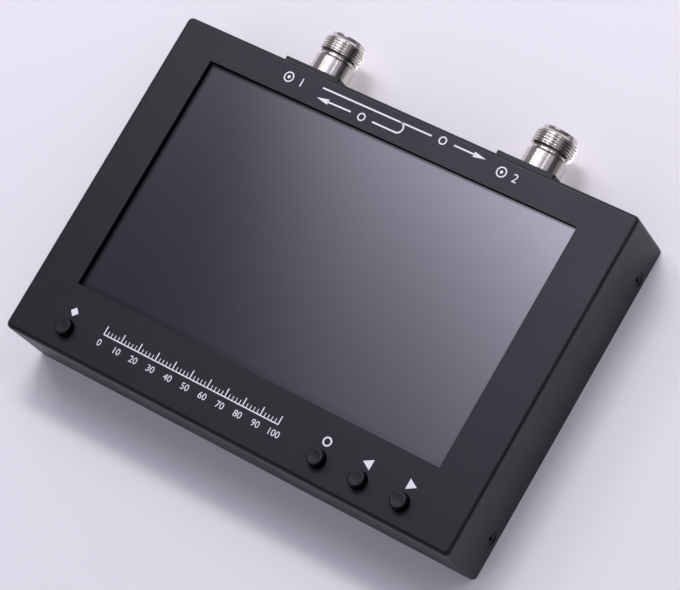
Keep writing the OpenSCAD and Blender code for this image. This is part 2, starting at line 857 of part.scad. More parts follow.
// Lug from the tray's back to the boss at the right of it
module bracket_lug(from_x, y) {
  difference() {
    union() {
      translate([from_x, y - bracket_w / 2, bracket_back])
        cube([boss_x - from_x, bracket_w, bracket_t]);
      translate([boss_x, y, bracket_back]) cylinder(r = boss_side - bracket_gap, h = bracket_t);
    }
    translate([boss_x, y, bracket_back - over])
      cylinder(d = boss_screw_d + 2 * screw_play, h = bracket_t + 2 * over);
  }
}

// Two lugs on the bosses and a rail that joins them, for the right of a tray at this place
module display_bracket(tray_x) {
  from_x = tray_x + tray_w / 2 - bracket_lap;
  bracket_lug(from_x, bracket_up);
  bracket_lug(from_x, -bracket_down);
  translate([from_x, -bracket_down, bracket_back])
    cube([bracket_rail, bracket_up + bracket_down, bracket_t]);
}

module display_bracket_left() {
  color(steel_grey) mirror([1, 0, 0]) display_bracket(-window_x);
}

module display_bracket_right() {
  color(steel_grey) display_bracket(window_x);
}

module display_screws() {
  color(steel_grey) for (p = DISPLAY_BOSSES) {
    translate([p[0], p[1], bracket_back])
      pan_screw(boss_screw_d, pan_head_d, pan_head_h, bracket_t + screw_bite);
  }
}

// Flat cable across its thickness: out of the display, down past it and back to its socket
module ribbon_profile(y_in, z_in, y_end, z_end) {
  y_out = glass_low - ribbon_out;
  r = ribbon_bend;
  translate([y_out, z_end]) square([y_end - y_out, ribbon_t]);
  translate([y_out, z_in - ribbon_t]) square([y_in - y_out, ribbon_t]);
  translate([y_out - r, z_end + r]) square([ribbon_t, z_in - z_end - 2 * r]);
  quarter_bend([y_out, z_end + r], r, 180);
  quarter_bend([y_out, z_in - r], r, 90);
}

// Quarter ring of ribbon: from the given angle on, counter-clockwise
module quarter_bend(middle, r, angle) {
  translate(middle) rotate(angle) difference() {
    circle(r);
    circle(r - ribbon_t);
    translate([-2 * r, -2 * r]) square([4 * r, 2 * r]);
    translate([-2 * r, -2 * r]) square([2 * r, 4 * r]);
  }
}

module ribbon(x, w, y_in, z_in) {
  y_end = ribbon_socket_y + socket_l * 0.8;
  translate([x - w / 2, 0, 0]) rotate([90, 0, 90])
    linear_extrude(w) ribbon_profile(y_in, z_in, y_end, board_top + socket_h);
}

module display_ribbon() {
  color(film_amber) ribbon(ribbon_x, ribbon_w, window_y - panel_h / 2, panel_back + panel_t / 2);
}

module touch_ribbon() {
  color(film_amber) ribbon(touch_x, touch_w, glass_low + tray_inset + tray_sheet, glass_back);
}

module ribbon_sockets() {
  color(plastic_white) for (p = [[ribbon_x, ribbon_w], [touch_x, touch_w]]) {
    translate([p[0] - p[1] / 2 - socket_side, ribbon_socket_y, board_top])
      cube([p[1] + 2 * socket_side, socket_l, socket_h]);
  }
}

// ---------- main board ----------

module main_board() {
  color(board_green) difference() {
    translate([-board_w / 2, board_down, board_bottom])
      cube([board_w, board_up - board_down, board_t]);
    for (p = BOSSES) {
      translate([p[0], p[1], board_bottom - over])
        cylinder(d = boss_screw_d + 2 * screw_play, h = board_t + 2 * over);
    }
    for (p = SLIM_BOSSES) {
      translate([p[0], p[1], board_bottom - over])
        cylinder(d = small_screw_d + 2 * screw_play, h = board_t + 2 * over);
    }
  }
}

module board_screws() {
  color(steel_grey) {
    for (p = BOSSES) {
      translate([p[0], p[1], board_bottom])
        pan_screw(boss_screw_d, pan_head_d, pan_head_h, board_screw_l);
    }
    for (p = SLIM_BOSSES) {
      translate([p[0], p[1], board_bottom])
        pan_screw(small_screw_d, small_head_d, small_head_h, board_screw_l);
    }
  }
}

// Packages on the board: [x, y, width, height, thickness]
CHIPS = [[-18, -14, 20, 20, 1.6], [14, -10, 14, 14, 1.4], [38, -16, 12, 8, 1], [-46, -8, 10, 10, 1.2],
  [62, -6, 7, 7, 1], [-70, -10, 9, 6, 2.4]];

module main_chips() {
  color(part_black) for (c = CHIPS) {
    translate([c[0] - c[2] / 2, c[1] - c[3] / 2, board_top]) cube([c[2], c[3], c[4]]);
  }
}

// Shield can: an open box of thin sheet with rounded corners, seated on the board
module shield_can(x, y, w, h) {
  color(steel_grey) translate([x, y, board_top]) difference() {
    soft_block(w, h, shield_h, 1);
    translate([0, 0, -over]) soft_block(w - 2 * shield_sheet, h - 2 * shield_sheet,
      shield_h - shield_sheet + over, 0.6);
    for (i = [-2:2]) {
      for (j = [-1:1]) {
        translate([i * w / 6, j * h / 4, shield_h - shield_sheet - over])
          cylinder(d = vent_d, h = shield_sheet + 2 * over);
      }
    }
  }
}

module rf_shield_1() {
  shield_can(port_1_x, shield_y, shield_w, shield_l);
}

module rf_shield_2() {
  shield_can(port_2_x, shield_y, shield_w, shield_l);
}

// The middle can fills the space between the other two, level with their lower ends
module synth_shield() {
  shield_can((port_1_x + port_2_x) / 2, shield_y - (shield_l - synth_l) / 2,
    port_2_x - port_1_x - shield_w - 2 * synth_gap, synth_l);
}

// ---------- sockets ----------

// Half outline of a socket's shell, drawn beside the axis: [radius, distance from the pad]
function shell_outline() = let(
  r_shank = shank_d / 2,
  r_barrel = barrel_d / 2,
  r_groove = groove_d / 2,
  r_thread = thread_d / 2,
  r_rim = rim_d / 2,
  r_bore = shell_bore / 2,
  cut = 0.3,
  thread_start = barrel_l + groove_l
) [
  [r_bore, -shank_l], [r_shank - cut, -shank_l], [r_shank, -shank_l + cut],
  [r_shank, 0], [r_barrel, 0], [r_barrel, barrel_l - barrel_bevel], [r_barrel - barrel_bevel, barrel_l],
  [r_groove, barrel_l], [r_groove, thread_start],
  [r_thread - thread_lead, thread_start], [r_thread, thread_start + thread_lead],
  [r_thread, thread_end - r_thread + r_rim], [r_rim, thread_end],
  [r_rim, rim_l - cut], [r_rim - cut, rim_l],
  [r_bore + cut, rim_l], [r_bore, rim_l - cut]
];

module port_shell(x) {
  color(nickel) on_port(x) rotate_extrude() polygon(shell_outline());
}

module port_insulator(x) {
  long = rim_l - mouth_l + shank_l + insulator_out;
  color(plastic_white) on_port(x) translate([0, 0, -shank_l - insulator_out]) difference() {
    cylinder(d = insulator_d, h = long);
    translate([0, 0, -over]) cylinder(d = contact_core + 2 * fit_gap, h = long + 2 * over);
  }
}

// Half outline of the centre contact: solder pin, core in the insulator, socket in the mouth
function contact_outline() = let(
  core_start = -shank_l - insulator_out,
  pin_end = core_start - board_port - pin_on_board,
  floor_l = rim_l - mouth_l,
  tip = rim_l - tip_back,
  cut = 0.3
) [
  [0, pin_end], [pin_d / 2, pin_end], [pin_d / 2, core_start],
  [contact_core / 2, core_start], [contact_core / 2, floor_l],
  [contact_d / 2, floor_l], [contact_d / 2, tip - cut], [contact_d / 2 - cut, tip], [0, tip]
];

// Centre contact, bored for the plug's pin and slotted into four springs
module port_contact(x) {
  floor_l = rim_l - mouth_l;
  color(gold) on_port(x) difference() {
    rotate_extrude() polygon(contact_outline());
    translate([0, 0, floor_l + contact_root]) cylinder(d = contact_bore, h = mouth_l);
    for (a = [0, 90]) {
      rotate([0, 0, a]) translate([-contact_d, -contact_slot / 2, floor_l + 2 * contact_root])
        cube([2 * contact_d, contact_slot, mouth_l]);
    }
  }
}

// Lock washer with teeth that point outwards
module port_washer(x) {
  teeth = 12;
  root_d = washer_d - 2.4;
  color(steel_grey) on_port(x) translate([0, 0, -pad_h - wall_t - washer_t]) difference() {
    union() {
      cylinder(d = root_d, h = washer_t);
      for (i = [0:teeth - 1]) {
        rotate([0, 0, i * 360 / teeth]) translate([root_d / 2 - 0.5, -0.9, 0])
          cube([(washer_d - root_d) / 2 + 0.5, 1.8, washer_t]);
      }
    }
    translate([0, 0, -over]) cylinder(d = shank_d + 2 * fit_gap, h = washer_t + 2 * over);
  }
}

// Hexagonal fixing nut with its corners turned off
module port_nut(x) {
  color(nickel) on_port(x) translate([0, 0, -pad_h - wall_t - washer_t - nut_t]) difference() {
    intersection() {
      cylinder(d = nut_af / cos(30), h = nut_t, $fn = 6);
      union() {
        cylinder(d1 = nut_af + 0.6, d2 = nut_af + 2.6, h = 0.6);
        translate([0, 0, 0.6]) cylinder(d = nut_af + 2.6, h = nut_t - 0.6);
      }
    }
    translate([0, 0, -over]) cylinder(d = shank_d + 2 * fit_gap, h = nut_t + 2 * over);
  }
}

module port_1_shell() { port_shell(port_1_x); }
module port_1_insulator() { port_insulator(port_1_x); }
module port_1_contact() { port_contact(port_1_x); }
module port_1_washer() { port_washer(port_1_x); }
module port_1_nut() { port_nut(port_1_x); }
module port_2_shell() { port_shell(port_2_x); }
module port_2_insulator() { port_insulator(port_2_x); }
module port_2_contact() { port_contact(port_2_x); }
module port_2_washer() { port_washer(port_2_x); }
module port_2_nut() { port_nut(port_2_x); }

// ---------- keys ----------

module key_board() {
  from_x = fn_x - key_board_side;
  to_x = right_x + key_board_side;
  color(board_green) difference() {
    translate([from_x, key_y - key_board_w / 2, key_board_back])
      cube([to_x - from_x, key_board_w, key_board_t]);
    for (x = KEY_BOSS_X) {
      translate([x, key_y, key_board_back - over])
        cylinder(d = small_screw_d + 2 * screw_play, h = key_board_t + 2 * over);
    }
  }
}

module key_board_screws() {
  color(steel_grey) for (x = KEY_BOSS_X) {
    translate([x, key_y, key_board_back])
      pan_screw(small_screw_d, small_head_d, small_head_h, key_board_t + screw_bite);
  }
}

module key_header() {
  color(part_black) translate([fn_x + header_step - header_w / 2, key_y - header_l / 2, board_top])
    cube([header_w, header_l, key_board_back - board_top]);
}

module key_switches() {
  color(part_black) for (x = KEY_X) {
    translate([x, key_y, key_board_top]) difference() {
      soft_block(switch_w, switch_w, switch_h, 0.5);
      translate([0, 0, switch_h - well_depth])
        cylinder(d = actuator_d + 2 * well_gap, h = well_depth + over);
    }
  }
}

module actuator(x) {
  color(part_black) translate([x, key_y, switch_top - well_depth + key_travel + 0.3])
    cylinder(d = actuator_d, h = actuator_h + well_depth - key_travel - 0.3);
}

// Push key: dished cap with a rounded rim, collar behind the face, stem on the switch
module key(x) {
  cap_top = body_d + key_h;
  rim_r = 0.5;
  r = key_d / 2;
  color(part_black) translate([x, key_y, 0]) difference() {
    rotate_extrude() {
      translate([0, collar_back]) square([key_collar_d / 2, key_collar_t]);
      translate([0, collar_back]) square([r, cap_top - rim_r - collar_back]);
      translate([0, collar_back]) square([r - rim_r, cap_top - collar_back]);
      translate([r - rim_r, cap_top - rim_r]) circle(rim_r);
      translate([0, switch_tip]) square([actuator_d / 2, stem_l + 0.1]);
    }
    translate([0, 0, cap_top + dish_r() - key_dish]) sphere(dish_r());
  }
}

// Radius of the ball that cuts the dish, from its depth and its width
function dish_r() = let(w = key_d / 2 - 0.9) (w * w + key_dish * key_dish) / (2 * key_dish);

module fn_key() { key(fn_x); }
module ctrl_key() { key(ctrl_x); }
module left_key() { key(left_x); }
module right_key() { key(right_x); }
module fn_actuator() { actuator(fn_x); }
module ctrl_actuator() { actuator(ctrl_x); }
module left_actuator() { actuator(left_x); }
module right_actuator() { actuator(right_x); }

// ---------- left-hand side ----------

// Puts a shape that grows along +Z inside the left wall, growing outwards
module out_left(y, z) {
  translate([-in_x, y, z]) toward_x(-1) children();
}

module power_button() {
  r = power_d / 2;
  color(part_black) out_left(power_up, power_z) rotate_extrude() {
    translate([0, -slide_gap - power_collar_t]) square([r + 0.9, power_collar_t]);
    translate([0, -slide_gap - power_collar_t])
      square([r, wall_t + power_out + slide_gap + power_collar_t - 0.4]);
    translate([0, -slide_gap - power_collar_t])
      square([r - 0.4, wall_t + power_out + slide_gap + power_collar_t]);
    translate([r - 0.4, wall_t + power_out - 0.4]) circle(0.4);
  }
}

module power_actuator() {
  long = power_stem + power_well - power_travel - 0.2;
  color(part_black) out_left(power_up, power_z)
    translate([0, 0, -slide_gap - power_collar_t - long]) cylinder(d = power_pin_d, h = long);
}

module power_switch() {
  front = slide_gap + power_collar_t + power_stem;
  color(part_black) out_left(power_up, power_z) translate([0, 0, -front - power_body]) difference() {
    translate([-power_rise, -3.2, 0]) cube([2 * power_rise, 6.4, power_body]);
    translate([0, 0, power_body - power_well])
      cylinder(d = power_pin_d + 2 * well_gap, h = power_well + over);
  }
}

module usb_socket() {
  color(steel_grey) translate([-body_w / 2 + usb_in, -usb_down, usb_z]) toward_x(1)
    rotate([0, 0, 90]) difference() {
      slot(usb_w, usb_h, usb_l);
      translate([0, 0, -over]) slot(usb_w - 2 * usb_sheet, usb_h - 2 * usb_sheet, usb_l - 1 + over);
    }
}

module usb_tongue() {
  color(part_black) translate([-body_w / 2 + usb_in + 1.2, -usb_down - 3.3, usb_z - 0.35])
    cube([usb_l - 2.2, 6.6, 0.7]);
}

module charge_led() {
  color(plastic_white) translate([-board_w / 2, light_up - 1.5, board_top]) cube([1.6, 3, 2.2]);
}

module light_pipe() {
  color(plastic_white) out_left(light_up, light_z) {
    translate([0, 0, -board_side + 0.1]) cylinder(d = light_d, h = board_side - 0.1 + wall_t);
    translate([0, 0, -0.8]) cylinder(d = light_d + 1, h = 0.8);
  }
}

// ---------- battery ----------

// Pouch cell: rounded long edges and a crimped rim at the lead's end
module battery_cell() {
  r = cell_t / 2;
  color("#8d9094") translate([cell_x, cell_y, cell_z + r]) {
    cube([cell_l, cell_w - 2 * r, cell_t], center = true);
    for (s = [-1, 1]) {
      translate([0, s * (cell_w / 2 - r), 0]) rotate([0, 90, 0])
        cylinder(r = r, h = cell_l, center = true);
    }
    translate([cell_l / 2, -cell_w / 2 + r, -crimp_t / 2]) cube([crimp_l, cell_w - 2 * r, crimp_t]);
  }
}

module battery_tape() {
  strip_l = cell_l * 0.84;
  color(part_black) for (s = [-1, 1]) {
    translate([cell_x - strip_l / 2, cell_y + s * cell_w / 4 - strip_w / 2, cover_t])
      cube([strip_l, strip_w, strip_t]);
  }
}

module battery_lead() {
  color("#a3261f") for (s = [-1, 1]) {
    translate([lead_x, cell_y + s * lead_pitch / 2, lead_z]) toward_x(1)
      cylinder(d = lead_d, h = lead_l);
  }
}

module battery_plug() {
  color(plastic_white) translate([plug_x, cell_y - plug_w / 2, lead_z - plug_h / 2])
    cube([plug_l, plug_w, plug_h]);
}

// Block under the board whose mouth takes the plug
module battery_socket() {
  depth = plug_l * 0.65;
  low = lead_z - plug_h / 2 - fit_gap - plug_wall;
  mouth_w = plug_w + 2 * fit_gap;
  color(plastic_white) difference() {
    translate([plug_x + plug_l - depth, cell_y - mouth_w / 2 - plug_wall, low])
      cube([depth + fit_gap + 5, mouth_w + 2 * plug_wall, board_bottom - low]);
    translate([plug_x + plug_l - depth - over, cell_y - mouth_w / 2, lead_z - plug_h / 2 - fit_gap])
      cube([depth + fit_gap + over, mouth_w, plug_h + 2 * fit_gap]);
  }
}

front_housing();
back_cover();
clinch_nuts();
side_screws_left();
side_screws_right();
glass_tape();
touch_glass();
lcd_panel();
light_guide();
backlight_tray();
display_bracket_left();
display_bracket_right();
display_screws();
display_ribbon();
touch_ribbon();
ribbon_sockets();
main_board();
board_screws();
main_chips();
rf_shield_1();
rf_shield_2();
synth_shield();
port_1_shell();
port_1_insulator();
port_1_contact();
port_1_washer();
port_1_nut();
port_2_shell();
port_2_insulator();
port_2_contact();
port_2_washer();
port_2_nut();
key_board();
key_board_screws();
key_header();
key_switches();
fn_key();
ctrl_key();
left_key();
right_key();
fn_actuator();
ctrl_actuator();
left_actuator();
right_actuator();
power_button();
power_actuator();
power_switch();
usb_socket();
usb_tongue();
charge_led();
light_pipe();
battery_cell();
battery_tape();
battery_lead();
battery_plug();
battery_socket();
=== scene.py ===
"""Handheld antenna analyzer: the finish of every piece, the turned sockets and the printed marks.

Lengths are in metres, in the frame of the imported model: the instrument lies on its back,
+X runs to its right-hand side, +Y to the edge with the sockets and +Z out of the screen.
"""

import json
import math

import bmesh
import bpy
from mathutils import Matrix, Vector


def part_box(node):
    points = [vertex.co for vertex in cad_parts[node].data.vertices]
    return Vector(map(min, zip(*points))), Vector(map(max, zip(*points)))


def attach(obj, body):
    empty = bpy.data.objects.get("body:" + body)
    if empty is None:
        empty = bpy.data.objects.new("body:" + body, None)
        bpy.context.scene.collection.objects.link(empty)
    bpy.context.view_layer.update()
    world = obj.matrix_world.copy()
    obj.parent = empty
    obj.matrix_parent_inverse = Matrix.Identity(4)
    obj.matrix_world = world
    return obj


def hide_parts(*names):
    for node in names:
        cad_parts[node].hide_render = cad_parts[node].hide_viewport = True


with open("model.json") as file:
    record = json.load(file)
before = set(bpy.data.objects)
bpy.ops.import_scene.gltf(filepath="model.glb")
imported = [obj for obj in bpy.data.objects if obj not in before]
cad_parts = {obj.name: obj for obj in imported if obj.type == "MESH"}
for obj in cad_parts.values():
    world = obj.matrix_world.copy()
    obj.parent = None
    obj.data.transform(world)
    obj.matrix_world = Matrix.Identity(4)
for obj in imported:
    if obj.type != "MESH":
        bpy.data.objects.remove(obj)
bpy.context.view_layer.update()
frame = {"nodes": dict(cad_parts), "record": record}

MM = 0.001
NODES = frame["nodes"]
HOUSING_LOW, HOUSING_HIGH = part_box("front_housing")
FACE = HOUSING_HIGH.z                       # height of the front face above the floor
SIDE = HOUSING_HIGH.x                       # half the housing's width
END = -HOUSING_LOW.y                        # half the housing's height, without the pads
PAD_FACE = HOUSING_HIGH.y                   # plane that the sockets stand on
WINDOW_LEFT, WINDOW_TOP = -77.8, 52.35      # corner of the face's window, in millimetres


# ---------- camera, floor and light ----------

def add_camera():
    """Looks down on the front from the right, as the photograph does."""
    right = Vector((0.7991, 0.4982, -0.3366))
    up = Vector((-0.3894, 0.8554, 0.3416))
    back = Vector((0.4581, -0.1419, 0.8775))
    data = bpy.data.cameras.new("camera")
    data.sensor_width = 36
    data.lens = 36 * 3051 / 680
    data.clip_start = 0.05
    data.clip_end = 20
    camera = bpy.data.objects.new("camera", data)
    bpy.context.scene.collection.objects.link(camera)
    turn = Matrix((right, up, back)).transposed().to_4x4()
    camera.matrix_world = Matrix.Translation((0.4838, -0.1483, 0.9306)) @ turn
    bpy.context.scene.camera = camera


def add_area_light(name, place, target, size, power, colour=(1, 1, 1)):
    """Soft rectangular lamp at place that faces target."""
    data = bpy.data.lights.new(name, "AREA")
    data.shape = "RECTANGLE"
    data.size, data.size_y = size
    data.energy = power
    data.color = colour
    lamp = bpy.data.objects.new(name, data)
    bpy.context.scene.collection.objects.link(lamp)
    lamp.location = place
    lamp.rotation_euler = (Vector(target) - Vector(place)).to_track_quat("-Z", "Y").to_euler()
    return lamp


# ---------- shader helpers ----------

def put(tree, kind, sockets=None, **settings):
    """Adds a node, sets its options, and sets or joins its input sockets."""
    made = tree.nodes.new(kind)
    for name, value in settings.items():
        setattr(made, name, value)
    for key, value in (sockets or {}).items():
        if isinstance(value, bpy.types.NodeSocket):
            tree.links.new(value, made.inputs[key])
        else:
            made.inputs[key].default_value = value
    return made


def calc(tree, operation, a, b=0.0, c=0.0):
    """Result of one Math node."""
    return put(tree, "ShaderNodeMath", {0: a, 1: b, 2: c}, operation=operation).outputs[0]


def spread(tree, value, low, high, to_low, to_high):
    """Value moved from one range to another, and kept inside it."""
    sockets = {0: value, 1: low, 2: high, 3: to_low, 4: to_high}
    return put(tree, "ShaderNodeMapRange", sockets).outputs[0]


def mixed(tree, share, first, second, blend="MIX"):
    """Two colours mixed by a share."""
    node = put(tree, "ShaderNodeMix", data_type="RGBA", blend_type=blend)
    for key, value in ((0, share), (6, first), (7, second)):
        if isinstance(value, bpy.types.NodeSocket):
            tree.links.new(value, node.inputs[key])
        else:
            node.inputs[key].default_value = value if key == 0 else (*value, 1)
    return node.outputs[2]


def noise(tree, vector, scale, detail=3.0, roughness=0.55):
    """Noise from 0 to 1; scale counts its features per millimetre."""
    sockets = {"Vector": vector, "Scale": scale, "Detail": detail, "Roughness": roughness}
    return put(tree, "ShaderNodeTexNoise", sockets).outputs[0]


def new_group(name, inputs, outputs):
    """Empty shader node group with float or vector sockets."""
    group = bpy.data.node_groups.new(name, "ShaderNodeTree")
    for socket, kind, value in inputs:
        made = group.interface.new_socket(socket, in_out="INPUT", socket_type=kind)
        if kind == "NodeSocketFloat":
            made.default_value = value
    for socket in outputs:
        group.interface.new_socket(socket, in_out="OUTPUT", socket_type="NodeSocketFloat")
    return group, group.nodes.new("NodeGroupInput"), group.nodes.new("NodeGroupOutput")


def make_grain_group():
    """Fine grain for the bump, and a broad, faint mottle for colour and roughness."""
    group, given, result = new_group(
        "satin_grain",
        [("Place", "NodeSocketVector", None), ("Grain", "NodeSocketFloat", 3.0),
         ("Mottle", "NodeSocketFloat", 0.06)],
        ["Grain", "Mottle"])
    fine = noise(group, given.outputs["Place"], given.outputs["Grain"], 2.0, 0.6)
    broad = noise(group, given.outputs["Place"], given.outputs["Mottle"], 5.0, 0.6)
    group.links.new(fine, result.inputs["Grain"])
    group.links.new(broad, result.inputs["Mottle"])
    return group


def make_edge_group():
    """Mask that rises to 1 at the edges of a box, broken up by noise as rubbed paint is; it marks both edge
    wear and a painted edge highlight.
    """
    group, given, result = new_group(
        "edge_wear_and_highlight",
        [("Place", "NodeSocketVector", None), ("Half X", "NodeSocketFloat", 95.0),
         ("Half Y", "NodeSocketFloat", 64.0), ("Height", "NodeSocketFloat", 30.0),
         ("Reach", "NodeSocketFloat", 1.5)],
        ["Mask"])
    place = put(group, "ShaderNodeSeparateXYZ", {0: given.outputs["Place"]})
    from_side = calc(group, "SUBTRACT", given.outputs["Half X"],
                     calc(group, "ABSOLUTE", place.outputs["X"]))
    from_end = calc(group, "SUBTRACT", given.outputs["Half Y"],
                    calc(group, "ABSOLUTE", place.outputs["Y"]))
    from_face = calc(group, "SUBTRACT", given.outputs["Height"], place.outputs["Z"])
    nearest = calc(group, "MINIMUM", from_side, from_end)
    farther = calc(group, "MAXIMUM", from_side, from_end)
    second = calc(group, "MAXIMUM", nearest, calc(group, "MINIMUM", farther, from_face))
    edge = calc(group, "SUBTRACT", 1.0, calc(group, "DIVIDE", second, given.outputs["Reach"]))
    edge_wear_and_light = spread(group, noise(group, given.outputs["Place"], 0.35, 4.0, 0.7), 0.35, 0.7, 0.2, 1.0)
    mask = calc(group, "MULTIPLY", calc(group, "MAXIMUM", edge, 0.0), edge_wear_and_light)
    group.links.new(mask, result.inputs["Mask"])
    return group


def make_dust_group():
    """Sparse small specks."""
    group, given, result = new_group(
        "dust_specks",
        [("Place", "NodeSocketVector", None), ("Spacing", "NodeSocketFloat", 0.5),
         ("Amount", "NodeSocketFloat", 0.5)],
        ["Mask"])
    cells = put(group, "ShaderNodeTexVoronoi",
                {"Vector": given.outputs["Place"], "Scale": given.outputs["Spacing"]})
    near = spread(group, cells.outputs["Distance"], 0.03, 0.07, 1.0, 0.0)
    patch = spread(group, noise(group, given.outputs["Place"], 0.03, 2.0), 0.5, 0.62, 0.0, 1.0)
    mask = calc(group, "MULTIPLY", calc(group, "MULTIPLY", near, patch), given.outputs["Amount"])
    group.links.new(mask, result.inputs["Mask"])
    return group


def make_turned_group():
    """Tool lines that run round a turned piece, spaced along +Y."""
    group, given, result = new_group(
        "turned_lines",
        [("Place", "NodeSocketVector", None), ("Lines", "NodeSocketFloat", 6.0)],
        ["Height"])
    place = put(group, "ShaderNodeSeparateXYZ", {0: given.outputs["Place"]})
    along = put(group, "ShaderNodeCombineXYZ",
                {0: 0.0, 1: calc(group, "MULTIPLY", place.outputs["Y"], given.outputs["Lines"]), 2: 0.0})
    lines = noise(group, along.outputs[0], 1.0, 2.0, 0.7)
    group.links.new(lines, result.inputs["Height"])
    return group


GRAIN = make_grain_group()
EDGE = make_edge_group()
DUST = make_dust_group()
TURNED = make_turned_group()


def start_material(name):
    """New node material: its tree, its Principled BSDF, and the place in millimetres."""
    material = bpy.data.materials.new(name)
    material.use_nodes = True
    tree = material.node_tree
    shader = next(n for n in tree.nodes if n.type == "BSDF_PRINCIPLED")
    coordinates = put(tree, "ShaderNodeTexCoord")
    place = put(tree, "ShaderNodeMapping",
                {"Vector": coordinates.outputs["Object"], "Scale": (1 / MM, 1 / MM, 1 / MM)})
    return material, tree, shader, place.outputs[0]


def group_node(tree, group, sockets):
    """A node group placed in a material with its own values."""
    return put(tree, "ShaderNodeGroup", sockets, node_tree=group)


def bump(tree, shader, height, distance, strength=1.0):
    """Joins a height, in millimetres of relief, to the shader's normal."""
    node = put(tree, "ShaderNodeBump",
               {"Height": height, "Distance": distance * MM, "Strength": strength})
    tree.links.new(node.outputs[0], shader.inputs["Normal"])


def finish(name, colour, shade, roughness, metallic=0.0, grain=3.0, relief=0.02, mottle=0.08,
           level=0.5):
    """Plain moulded, plated or painted finish: two close colours, grain and mottled gloss."""
    material, tree, shader, place = start_material(name)
    shader.inputs["Metallic"].default_value = metallic
    shader.inputs["Specular IOR Level"].default_value = level
    grains = group_node(tree, GRAIN, {"Place": place, "Grain": grain, "Mottle": mottle})
    patch = spread(tree, grains.outputs["Mottle"], 0.3, 0.7, 0.0, 1.0)
    tree.links.new(mixed(tree, patch, shade, colour), shader.inputs["Base Color"])
    gloss = spread(tree, grains.outputs["Mottle"], 0.3, 0.7, roughness[0], roughness[1])
    tree.links.new(gloss, shader.inputs["Roughness"])
    bump(tree, shader, grains.outputs["Grain"], relief)
    return material


# ---------- finishes ----------

SATIN_TINT = (0.90, 0.87, 1.0, 1)           # colour of the gloss on the satin black pieces

def housing_finish():
    """Satin black, blasted and anodised: fine grain, faint mottle, rubbed edges lightened both as wear and
    as a painted edge highlight, a few specks.
    """
    material, tree, shader, place = start_material("satin_black_housing")
    grains = group_node(tree, GRAIN, {"Place": place, "Grain": 2.6, "Mottle": 0.045})
    edge_wear_and_light = group_node(tree, EDGE, {
        "Place": place, "Half X": SIDE / MM, "Half Y": END / MM, "Height": FACE / MM, "Reach": 1.3})
    specks = group_node(tree, DUST, {"Place": place, "Spacing": 0.4, "Amount": 0.5})
    patch = spread(tree, grains.outputs["Mottle"], 0.3, 0.7, 0.0, 1.0)
    base = mixed(tree, patch, (0.0036, 0.0034, 0.0052), (0.0052, 0.0049, 0.0074))
    pores = spread(tree, grains.outputs["Grain"], 0.3, 0.62, 0.72, 1.12)
    base = mixed(tree, 1.0, base, mixed(tree, pores, (0, 0, 0), (1, 1, 1)), "MULTIPLY")
    # Lighter edges: partly rubbed paint, partly a painted edge highlight.
    rubbed = calc(tree, "MULTIPLY", edge_wear_and_light.outputs["Mask"], 0.12)
    base = mixed(tree, rubbed, base, (0.03, 0.029, 0.036))
    base = mixed(tree, specks.outputs["Mask"], base, (0.2, 0.2, 0.21))
    tree.links.new(base, shader.inputs["Base Color"])
    gloss = spread(tree, grains.outputs["Mottle"], 0.3, 0.7, 0.42, 0.5)
    gloss = calc(tree, "SUBTRACT", gloss, calc(tree, "MULTIPLY", edge_wear_and_light.outputs["Mask"], 0.04))
    facing = put(tree, "ShaderNodeSeparateXYZ", {0: put(tree, "ShaderNodeNewGeometry").outputs["Normal"]})
    rounded = calc(tree, "MULTIPLY", spread(tree, facing.outputs["X"], 0.15, 0.4, 0.0, 1.0),
                   spread(tree, facing.outputs["Z"], 0.15, 0.4, 0.0, 1.0))
    gloss = calc(tree, "SUBTRACT", gloss, calc(tree, "MULTIPLY", rounded, 0.2))
    tree.links.new(gloss, shader.inputs["Roughness"])
    shader.inputs["Specular IOR Level"].default_value = 0.46
    shader.inputs["Specular Tint"].default_value = SATIN_TINT
    bump(tree, shader, grains.outputs["Grain"], 0.035)
    return material


def key_finish():
    """Satin black key: its top like the housing, its side darkened with painted shade."""
    material, tree, shader, place = start_material("satin_black_key")
    grains = group_node(tree, GRAIN, {"Place": place, "Grain": 3.2, "Mottle": 0.15})
    patch = spread(tree, grains.outputs["Mottle"], 0.3, 0.7, 0.0, 1.0)
    base = mixed(tree, patch, (0.0036, 0.0034, 0.0048), (0.0050, 0.0047, 0.0066))
    facing = put(tree, "ShaderNodeSeparateXYZ", {0: put(tree, "ShaderNodeNewGeometry").outputs["Normal"]})
    # Painted shade: where the surface turns away from the top, the base colour darkens and Metallic rises,
    # so the key's side reads as in shade.
    side = spread(tree, facing.outputs["Z"], 0.8, 0.985, 0.75, 0.0)
    base = mixed(tree, side, base, (0.002, 0.002, 0.0024))
    tree.links.new(base, shader.inputs["Base Color"])
    tree.links.new(side, shader.inputs["Metallic"])
    tree.links.new(spread(tree, grains.outputs["Mottle"], 0.3, 0.7, 0.42, 0.5), shader.inputs["Roughness"])
    shader.inputs["Specular IOR Level"].default_value = 0.46
    shader.inputs["Specular Tint"].default_value = SATIN_TINT
    bump(tree, shader, grains.outputs["Grain"], 0.02)
    return material


def painted_lip_shade_masks(tree, split):
    """Masks of painted shade along the window's top and left edges: the first paints out the glass's second
    reflection, as if the lip hid it, and the second paints the glass nearly black, as if in the lip's shade."""
    slant = spread(tree, split.outputs["X"], WINDOW_LEFT, -WINDOW_LEFT, 1.45, 0.95)
    from_top = calc(tree, "SUBTRACT", WINDOW_TOP, split.outputs["Y"])
    below = calc(tree, "SUBTRACT", from_top, slant)
    from_left = calc(tree, "SUBTRACT", split.outputs["X"], WINDOW_LEFT)
    painted_lip_shade_strip = calc(tree, "MAXIMUM", spread(tree, below, -0.15, 0.15, 1.0, 0.0),
                  spread(tree, from_left, 0.8, 2.6, 1.0, 0.0))
    black = calc(tree, "MAXIMUM", spread(tree, below, -0.9, -0.3, 0.9, 0.0),
                 spread(tree, from_left, 0.3, 2.4, 0.85, 0.0))
    return painted_lip_shade_strip, black


